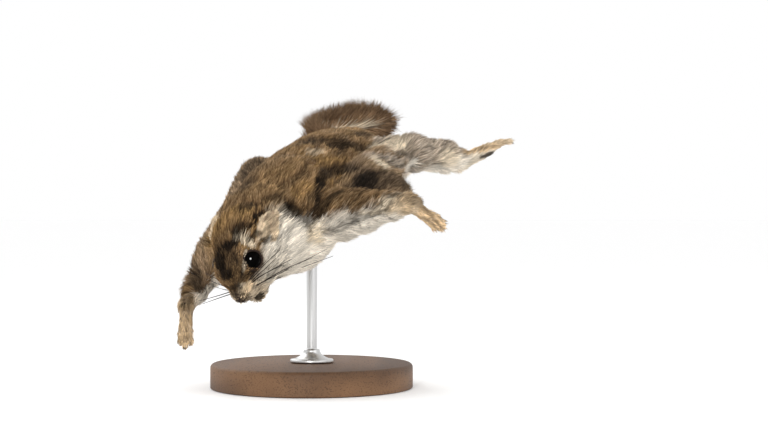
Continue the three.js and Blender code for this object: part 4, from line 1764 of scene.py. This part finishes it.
@dataclass
class Barber:
    """Grows the coat: closed tufts of hair, each a spindle bent once, set along the lie."""

    hide: Hide
    flesh: Flesh
    markings: Markings
    maker: Maker
    material: Material
    most: int = 33000
    patch: float = 0.0015
    knot: float = 2.6
    pull: float = 0.45
    fine_streak: float = 0.8
    broad_streak: float = 2.2
    streak_seeds: tuple[int, int] = (51, 52)
    streak_size: float = 0.7
    head_streak: float = 0.5
    tail_streak: float = 0.8

    def grow(self) -> None:
        """Makes every piece of the coat."""
        part = self.hide.part
        _, side, height = self.flesh.bones.body.read(self.hide.points).T
        torso, membranes = among(part, Part.TORSO), among(part, Part.MEMBRANES)
        regions = {
            "coat_head": among(part, Part.HEAD, Part.EARS),
            "coat_neck": among(part, Part.NECK),
            "coat_back": torso & (height > 0),
            "coat_belly": torso & ~(height > 0),
            "coat_arms": among(part, Part.ARMS),
            "coat_legs": among(part, Part.LEGS),
            "coat_paws": among(part, Part.PAWS),
            "coat_membrane_left": membranes & (side > 0),
            "coat_membrane_right": membranes & ~(side > 0),
            "coat_tail": among(part, Part.TAIL),
        }
        for seed, (name, chosen) in enumerate(regions.items()):
            self.piece(name, chosen, seed)

    def piece(self, name: str, chosen: Vec, seed: int) -> None:
        """Grows the coat of one region.

        Args:
            name: The piece's name.
            chosen: Which of the skin's points are in it.
            seed: The seed of its draws.
        """
        hide, draw = self.hide, np.random.default_rng(seed + 1)
        faces = hide.faces[chosen[hide.faces[:, 0]]]
        triangles = np.concatenate([faces[:, [0, 1, 2]], faces[:, [0, 2, 3]]])
        a, b, c = (hide.points[triangles[:, k]] for k in range(3))
        area = np.linalg.norm(np.cross(b - a, c - a), axis=1) / 2
        wanted = area * hide.thick[triangles].mean(1)
        count = min(int(round(wanted.sum())), self.most)
        LOG.info("%s: %.0f mm2, %d tufts", name, area.sum(), count)
        picked = triangles[draw.choice(len(triangles), count, p=wanted / wanted.sum())]
        share = draw.random((count, 2))
        fold = share.sum(1) > 1
        share[fold] = 1 - share[fold]
        weight = np.stack([1 - share.sum(1), share[:, 0], share[:, 1]], axis=1)

        def at(values: Vec) -> Vec:
            """Returns the skin's values at the roots."""
            if values.ndim == 1:
                return (values[picked] * weight).sum(1)
            return (values[picked] * weight[..., None]).sum(1)

        root, normal = at(hide.points), unit(at(hide.normals))
        length = at(hide.length)
        lie = self.comb(root, normal, at(hide.lie), draw)
        kind = hide.part[picked[:, 0]]
        onward = (0.35 + 0.5 * draw.random(count)) * length
        shown = root + onward[:, None] * lie + (0.5 * length * np.sin(at(hide.lift)))[:, None] * normal
        tones = self.markings.tones(shown, normal, kind)
        tones["streak"] = self.streak(name, shown, lie)
        length = length * (0.78 + 0.44 * draw.random(count)) * (1 - 0.28 * tones["slate"])
        lift = at(hide.lift) * (0.7 + 0.6 * draw.random(count))
        self.weave(name, Tufts(root, normal, lie, kind, length, lift, at(hide.width)), tones, draw)

    def streak(self, name: str, points: Vec, lie: Vec) -> Vec:
        """Draws the streaks of one piece's coat, which stand partly for real streaks of hair and partly
        for painted shade between its clumps.

        Args:
            name: The piece's name.
            points: Where its hair is seen.
            lie: The way the hair points there.

        Returns:
            Values from 0 to 1.
        """
        own = {"coat_head": self.head_streak, "coat_tail": self.tail_streak}
        size = own.get(name, self.streak_size)
        drawn = size * (3 if name == "coat_tail" else 1)
        fine, broad = self.streak_seeds
        narrow = streaks(points, lie, self.fine_streak * size, 3 * drawn, fine)
        wide = streaks(points, lie, self.broad_streak * size, 5 * drawn, broad)
        return np.clip(0.6 * narrow + 0.4 * wide, 0, 1)

    def comb(self, root: Vec, normal: Vec, lie: Vec, draw: np.random.Generator) -> Vec:
        """Combs the tufts along the skin, but for a rim's fringe.

        Args:
            root: Where each tuft grows.
            normal: The outward direction there.
            lie: The way the skin's hair points there.
            draw: The source of its draws.

        Returns:
            The way each tuft leaves its root.
        """
        turned = 0.3 * noise(root, 9, 21) + 0.22 * noise(root, 3, 22)
        turned = turned + 0.1 * draw.standard_normal(len(root))
        lie = unit(lie)
        facing = (lie * normal).sum(1)
        flat = unit(lie - (np.where(facing > 0, 0.82, 1.0) * facing)[:, None] * normal)
        return unit(flat * np.cos(turned)[:, None] + np.cross(normal, flat) * np.sin(turned)[:, None])

    def weave(self, name: str, tufts: Tufts, tones: dict[str, Vec], draw: np.random.Generator) -> None:
        """Builds the tufts of one piece.

        Args:
            name: The piece's name.
            tufts: Where each grows, how it points and how large it is.
            tones: Its markings.
            draw: The source of its draws.
        """
        root, normal, lie = tufts.root, tufts.normal, tufts.lie
        count, length = len(root), tufts.length[:, None]
        pull = nearest_knots(root, self.knot, 31) - root
        pull -= (pull * normal).sum(1)[:, None] * normal
        gap = np.maximum(np.linalg.norm(pull, axis=1), 0.1)[:, None]
        pull *= np.minimum(self.pull, 0.3 * length / gap)
        reach, rise = np.cos(tufts.lift)[:, None] * lie, np.sin(tufts.lift)[:, None] * normal
        middle = root + length * (0.42 * reach + 0.525 * rise) + 0.35 * pull
        tip = root + length * (reach + 0.86 * rise) + pull
        base = root - 0.35 * normal - 0.15 * lie
        along = unit(tip - root)
        side = unit(np.cross(normal, along))
        top = np.cross(along, side)
        half = (0.5 * tufts.width * (0.75 + 0.5 * draw.random(count)))[:, None]
        bend = (middle + side * half, middle - side * half, middle + top * half * 0.8)
        points = np.stack([base, *bend, tip], axis=1)
        faces = np.array([[0, 3, 1], [0, 2, 3], [0, 1, 2], [4, 1, 3], [4, 3, 2], [4, 2, 1]])
        every = (np.arange(count)[:, None, None] * 5 + faces[None]).reshape(-1, 3)
        piece = self.maker.piece(name, (points.reshape(-1, 3), every), self.material, "coat")
        tones["luck"] = draw.random(count)
        for key, value in tones.items():
            Maker.store(piece, key, np.repeat(value, 5))
        Maker.store(piece, "along", np.tile([0.0, 0.5, 0.5, 0.5, 1.0], count))
        if name != "coat_tail":
            self.light(piece, normal, side, top)
        self.map(piece, tufts, every)

    @staticmethod
    def light(piece: Piece, normal: Vec, side: Vec, top: Vec) -> None:
        """Turns the tufts' normals towards the skin's, so that the coat shades as one soft surface.

        Args:
            piece: The piece of the coat.
            normal: The skin's outward direction at each tuft.
            side: The way across each tuft.
            top: The way out of its upper face.
        """
        own = np.stack([normal, side + 0.3 * top, 0.3 * top - side, top, top], axis=1)
        mixed = unit(own * 0.5 + normal[:, None] * 0.75)
        piece.data.normals_split_custom_set_from_vertices(mixed.reshape(-1, 3).tolist())

    def charts(self, tufts: Tufts) -> Vec:
        """Numbers the charts of the unwrap: one for each limb, and one for each face of a sheet.

        Args:
            tufts: The tufts of one piece.

        Returns:
            The number of each tuft's chart.
        """
        bones, root = self.flesh.bones, tufts.root
        joints = [way(side)[1:3] for side in (1, -1) for way in (bones.arm, bones.leg)]
        gaps = [np.minimum(*(apart(root, joint) for joint in pair)) for pair in joints]
        limbs, ears = among(tufts.kind, Part.ARMS, Part.LEGS, Part.PAWS), among(tufts.kind, Part.EARS)
        chart = np.where(limbs, 1 + np.argmin(gaps, axis=0), 0)
        left_ear = (root - bones.head.origin) @ bones.head.left > 0
        chart = np.where(ears, np.where(left_ear, 5, 6), chart)
        sheets = ears | among(tufts.kind, Part.MEMBRANES)
        for number in np.unique(chart[sheets]):
            mine = sheets & (chart == number)
            _, ways = spread_of(root[mine])
            chart[mine] += 10 * (1 + (tufts.normal[mine] @ ways[:, 0] > 0))
        return chart

    def unwrap(self, root: Vec, flat: bool) -> Vec:
        """Lays roots out on their own shape: flat on a sheet, and else round its long axis.

        Args:
            root: The roots of one chart.
            flat: Whether they lie on one face of a sheet.

        Returns:
            Their places, from 0 to 1 both ways.
        """
        spread, ways = spread_of(root)
        places = spread @ ways[:, [1, 2]]
        if not flat:
            places[:, 0] = np.arctan2(spread @ ways[:, 1], spread @ ways[:, 0])
        return (places - places.min(0)) / (np.ptp(places, axis=0) + 1e-6)

    def map(self, piece: Piece, tufts: Tufts, faces: Vec) -> None:
        """Gives each tuft a small patch at its root's place on an unwrap of the region's own shape.

        Args:
            piece: The piece of the coat.
            tufts: Its tufts.
            faces: Its faces.
        """
        root, chart = tufts.root, self.charts(tufts)
        numbers = np.unique(chart)
        across = math.ceil(math.sqrt(len(numbers)))
        spot = np.zeros((len(root), 2))
        for index, number in enumerate(numbers):
            mine = chart == number
            corner = np.array([index % across, index // across])
            spot[mine] = (corner + 0.01 + 0.98 * self.unwrap(root[mine], number >= 10)) / across
        shape = self.patch * np.array([[0, -1], [0.8, 0], [-0.8, 0], [0, 0.1], [0, 1]])
        spot = np.clip(spot, self.patch, 1 - self.patch)
        layer = piece.data.uv_layers.new(name="OFBake")
        places = (spot[:, None] + shape[None]).reshape(-1, 2)
        layer.uv.foreach_set("vector", places[faces.ravel()].astype(np.float32).ravel())


@dataclass
class Trimmings:
    """Eyes, claws, whiskers and teeth."""

    flesh: Flesh
    maker: Maker
    markings: Markings
    beyond: float = 870.0
    eye_rows: int = 32
    eye_columns: int = 48
    bulge: float = 0.05
    far_eye: float = 0.95
    claw: tuple[float, float] = (0.55, 0.08)
    tooth: tuple[float, float] = (0.5, 0.3)
    near_whisker: tuple[float, float] = (0.22, 0.09)
    far_whisker: tuple[float, float] = (0.15, 0.025)
    whisker_gaps: tuple[float, ...] = (-0.6, 3.6, 6.0, 7.0)

    def eyes(self) -> list[Piece]:
        """Makes both eyes, a little fuller at the front, and returns them."""
        material, radius, pieces = self.maker.finishes.eye(), self.flesh.eye_radius, []
        polar = np.linspace(0, math.pi, self.eye_rows + 1)[-2:0:-1, None, None]
        turn = (np.arange(self.eye_columns) * 2 * math.pi / self.eye_columns)[None, :, None]
        for side, name, full in ((1, "eye_left", 1), (-1, "eye_right", self.far_eye)):
            centre, axis = self.flesh.eye_centre(side), self.flesh.eye_axis(side)
            sideways = unit(np.cross(axis, UP))
            upward = np.cross(sideways, axis)
            round_axis = np.cos(turn) * sideways + np.sin(turn) * upward
            ball = np.cos(polar) * axis + np.sin(polar) * round_axis
            bulge = 1 + self.bulge * ease(ball @ axis, 0.6, 1.0)[..., None]
            ends = centre + np.outer([-1, 1 + self.bulge], axis) * radius
            shape = closed(centre + ball * radius * bulge * full, ends)
            piece = self.maker.piece(name + "_gloss", shape, material, "eyes")
            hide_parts(name)
            pieces.append(piece)
        return pieces

    @staticmethod
    def strand(points: Sequence[Vec], girths: Sequence[float], sides: int = 6, rings: int = 14) -> Mesh:
        """Draws a tapering round strand through points.

        Args:
            points: What it runs through.
            girths: Its radius at its root and at its tip.
            sides: How many sides it has.
            rings: How many rings of points it has.

        Returns:
            Its points and faces.
        """
        width, tip = girths
        share = np.linspace(0, 1, rings)
        line = curve(list(points), share)
        along = unit(np.gradient(line, axis=0))
        side = unit(np.cross(along, vec(0.31, 0.52, 0.8)))
        girth = width + (tip - width) * share
        return tube(line, side, np.cross(side, along), girth, girth, sides)

    def gather(self, name: str, strands: list[Mesh], material: Material, slot: str) -> None:
        """Makes one piece of several strands.

        Args:
            name: Its name.
            strands: The points and faces of each strand.
            material: Its finish.
            slot: Passed on to the maker's piece, which does not use it.
        """
        starts = np.cumsum([0, *[len(points) for points, _ in strands]])
        points = np.concatenate([points for points, _ in strands])
        faces = np.concatenate([faces + start for (_, faces), start in zip(strands, starts)])
        self.maker.piece(name, (points, faces), material, slot)

    def claws(self) -> None:
        """Makes the claws of every hand and foot."""
        strands = []
        for paw in self.flesh.paws():
            for number in range(paw.digits):
                _, _, root, tip = paw.digit(number)
                onward = tip - root
                knee = root + 0.5 * onward + 0.55 * paw.axes.dorsal
                line = [root + 0.2 * onward, knee, tip + 0.2 * onward]
                strands.append(self.strand(line, self.claw, 8, 9))
        self.gather("claws", strands, self.maker.finishes.horn(), "bare_skin")

    def teeth(self) -> None:
        """Makes the two upper incisors."""
        head = self.flesh.bones.head
        places = ((11.9, -3.5), (13.1, -5.3), (12.7, -7.1))
        strands = []
        for left in (0.55, -0.55):
            line = [head.at(forward, left, dorsal) for forward, dorsal in places]
            strands.append(self.strand(line, self.tooth))
        self.gather("incisors", strands, self.maker.finishes.tooth(), "bare_skin")

    def whiskers(self) -> None:
        """Makes the whiskers: the near ones along the photo's, the far ones fanned from their pad."""
        head = self.flesh.bones.head
        draw = np.random.default_rng(7)
        strands = []
        for pixels in WHISKERS:
            points = [self.above(pixel, gap) for pixel, gap in zip(pixels, self.whisker_gaps)]
            strands.append(self.strand(points, self.near_whisker, 5))
        for row in range(4):
            for column in range(3):
                start = head.at(12.1 - 1.15 * column, -3.6 - 0.5 * column, -1.6 - 1.0 * row)
                length = 20 + 4 * column + 5 * draw.random()
                rise = -0.1 - 0.16 * row + 0.06 * draw.standard_normal()
                way = unit(head.towards(-0.1 - 0.08 * column, -0.95, rise))
                droop = unit(head.towards(-0.4, -0.8, rise - 0.1))
                middle = start + 0.5 * length * unit(way + 0.35 * droop)
                end = start + length * unit(way + 0.9 * droop)
                line = [start - 0.8 * way, start + 0.15 * length * way, middle, end]
                strands.append(self.strand(line, self.far_whisker, 5))
        self.gather("whiskers", strands, self.maker.finishes.whisker(), "coat")

    def above(self, pixel: tuple[float, float], gap: float) -> Vec:
        """Returns the place in a pixel's sight line that is a gap in front of the skin."""
        start, way, far = self.markings.sight(pixel)
        return start + way * ((self.beyond if far is None else far) - gap)


@dataclass
class Stand:
    """The display stand: an oval base, a collar and a rod."""

    maker: Maker
    rod_radius: float = 2.2
    rim: float = 0.3
    base_bevel: float = 1.6
    collar_bevel: float = 0.6
    collar_foot: float = 1.4
    flare: tuple[float, float] = (3.4, 4.1)
    collar_top: float = 3.0
    sharp: float = 40

    def __post_init__(self) -> None:
        """Makes the finishes."""
        self.finishes = {"wood": self.maker.finishes.wood(), "steel": self.maker.finishes.steel()}

    def lathe(self, profile: Profile, stretch: Sequence[float], sides: int) -> Mesh:
        """Turns a profile round the upright axis.

        Args:
            profile: Radii and heights, from the foot up.
            stretch: How much wider it is along x and along y.
            sides: How many sides it has.

        Returns:
            Its points and faces.
        """
        turn = np.arange(sides) * 2 * math.pi / sides
        ring = np.stack([np.cos(turn) * stretch[0], np.sin(turn) * stretch[1], 0 * turn], axis=1)
        rings = np.stack([ring * radius + UP * height for radius, height in profile])
        return closed(rings, np.outer([profile[0][1], profile[-1][1]], UP))

    def disc(self, radius: float, low: float, high: float, bevel: float, steps: int) -> Profile:
        """Draws a disc with a rounded upper edge.

        Args:
            radius: Its radius.
            low: The height of its foot.
            high: The height of its top.
            bevel: The radius of its edge.
            steps: How many steps that edge has.

        Returns:
            Its profile.
        """
        arc = np.linspace(0, math.pi / 2, steps + 1)
        edge = [(radius - bevel * (1 - math.cos(a)), high - bevel * (1 - math.sin(a))) for a in arc]
        return [(radius - self.rim, low), (radius, low + self.rim), *edge]

    def part(self, node: str, finish: str, profile: Profile, stretch: Any, sides: int) -> None:
        """Makes the piece that stands for one of the stand's nodes.

        Args:
            node: The node.
            finish: Its finish, which also names the piece.
            profile: Its radii and heights.
            stretch: How much wider it is along x and along y.
            sides: How many sides it has.
        """
        shape = self.lathe(profile, stretch, sides)
        piece = self.maker.piece(f"{node}_{finish}", shape, self.finishes[finish], finish)
        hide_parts(node)
        piece.data.set_sharp_from_angle(angle=math.radians(self.sharp))

    def make(self) -> None:
        """Makes the base, the collar and the rod."""
        low, high = (np.array(corner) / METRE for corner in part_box("stand_base"))
        profile = [(r / high[0], z) for r, z in self.disc(high[0], low[2], high[2], self.base_bevel, 6)]
        self.part("stand_base", "wood", profile, high, 96)
        low, high = (np.array(corner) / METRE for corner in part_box("stand_collar"))
        foot = low[2] + self.collar_foot
        least, more = self.flare
        rise = high[2] - foot - 0.4
        flare = [(least + more * (1 - s) ** 2.2, foot + rise * s) for s in np.linspace(0, 1, 9)]
        disc = self.disc(high[0], low[2], foot, self.collar_bevel, 4)
        profile = [*disc, *flare, (self.collar_top, high[2])]
        self.part("stand_collar", "steel", profile, (1, 1), 64)
        low, high = (np.array(corner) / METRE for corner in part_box("stand_rod"))
        profile = [(self.rod_radius, low[2]), (self.rod_radius, high[2])]
        self.part("stand_rod", "steel", profile, (1, 1), 40)


@dataclass
class Studio:
    """The pale floor, the world and the lights."""

    span: float = 40.0
    drop: float = 0.0002
    aim: Vec = fixed(0, -40, 75)
    key_place: Vec = fixed(-160, -1150, 330)
    fill_place: Vec = fixed(700, -700, 500)
    rim_place: Vec = fixed(-500, 600, 700)

    def floor(self) -> None:
        """Makes the floor."""
        mesh = bpy.data.meshes.new("floor")
        ways = ((-1, -1), (1, -1), (1, 1), (-1, 1))
        corners = [(x * self.span, y * self.span, -self.drop) for x, y in ways]
        mesh.from_pydata(corners, [], [(0, 1, 2, 3)])
        paint = Paint("floor_paper", roughness=0.9, specular=0.1)
        cloud = paint.grain(3, 2) * 0.3
        paint.set("Base Color", paint.mix(cloud, (0.995, 0.995, 0.995), (1.0, 1.0, 1.0)))
        mesh.materials.append(paint.material)
        floor = bpy.data.objects.new("floor", mesh)
        bpy.context.scene.collection.objects.link(floor)

    def world(self) -> None:
        """Lights everything softly from all round."""
        world = bpy.data.worlds.new("studio")
        world.use_nodes = True
        background = world.node_tree.nodes["Background"]
        background.inputs["Color"].default_value = (1, 1, 1, 1)
        background.inputs["Strength"].default_value = 1.0
        bpy.context.scene.world = world

    def light(self, name: str, place: Vec, size: float, power: float) -> Piece:
        """Adds a square light that faces the model.

        Args:
            name: Its name.
            place: Where it stands.
            size: Its side, in metres.
            power: Its power, in watts.

        Returns:
            The light.
        """
        data = bpy.data.lights.new(name, "AREA")
        data.size = size
        data.energy = power
        lamp = bpy.data.objects.new(name, data)
        lamp.location = Vector(place) * METRE
        aim = Vector(self.aim) * METRE - lamp.location
        lamp.rotation_euler = aim.to_track_quat("-Z", "Y").to_euler()
        bpy.context.scene.collection.objects.link(lamp)
        return lamp

    def glint(self, eyes: list[Piece]) -> None:
        """Adds the light that only the eyes catch.

        Args:
            eyes: The pieces that catch it.
        """
        lamp = self.light("glint", self.key_place, 0.36, 280)
        group = bpy.data.collections.new("glint")
        for eye in eyes:
            group.objects.link(eye)
        lamp.light_linking.receiver_collection = group

    def make(self) -> None:
        """Sets up the studio."""
        self.floor()
        self.world()
        self.light("key", self.key_place, 0.14, 4.5)
        self.light("fill", self.fill_place, 0.9, 2)
        self.light("rim", self.rim_place, 0.7, 3)
        bpy.context.scene.view_settings.view_transform = "Standard"


FLESH_NODES = ["torso", "neck", "head", "tail"] + [
    f"{name}_{side}"
    for name in ("ear", "upper_arm", "forearm", "hand", "thigh", "shank", "foot", "patagium")
    for side in ("left", "right")
]


def main() -> None:
    """Builds the model around the frame."""
    logging.basicConfig(level=logging.INFO, format="%(message)s")
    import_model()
    eyepiece = Eyepiece()
    eyepiece.make()
    studio = Studio()
    studio.make()
    finishes = Finishes()
    maker = Maker(finishes)
    flesh = Flesh(Skeleton())
    hide = Tanner(flesh).tan()
    skin = maker.piece("skin", (hide.points, hide.faces), finishes.skin(), "coat")
    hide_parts(*FLESH_NODES)
    tree = BVHTree.FromPolygons(hide.points.tolist(), hide.faces.tolist())
    markings = Markings(flesh, eyepiece, tree)
    tones = markings.tones(hide.points, hide.normals, hide.part)
    tones["streak"] = streaks(hide.points, unit(hide.lie), 1.2, 4, 51)
    tones["dark"] = among(hide.part, Part.HEAD) * 1.0
    for name, values in tones.items():
        Maker.store(skin, name, values)
    Barber(hide, flesh, markings, maker, finishes.hair()).grow()
    trimmings = Trimmings(flesh, maker, markings)
    studio.glint(trimmings.eyes())
    trimmings.claws()
    trimmings.teeth()
    trimmings.whiskers()
    Stand(maker).make()


if __name__ == "__main__":
    main()
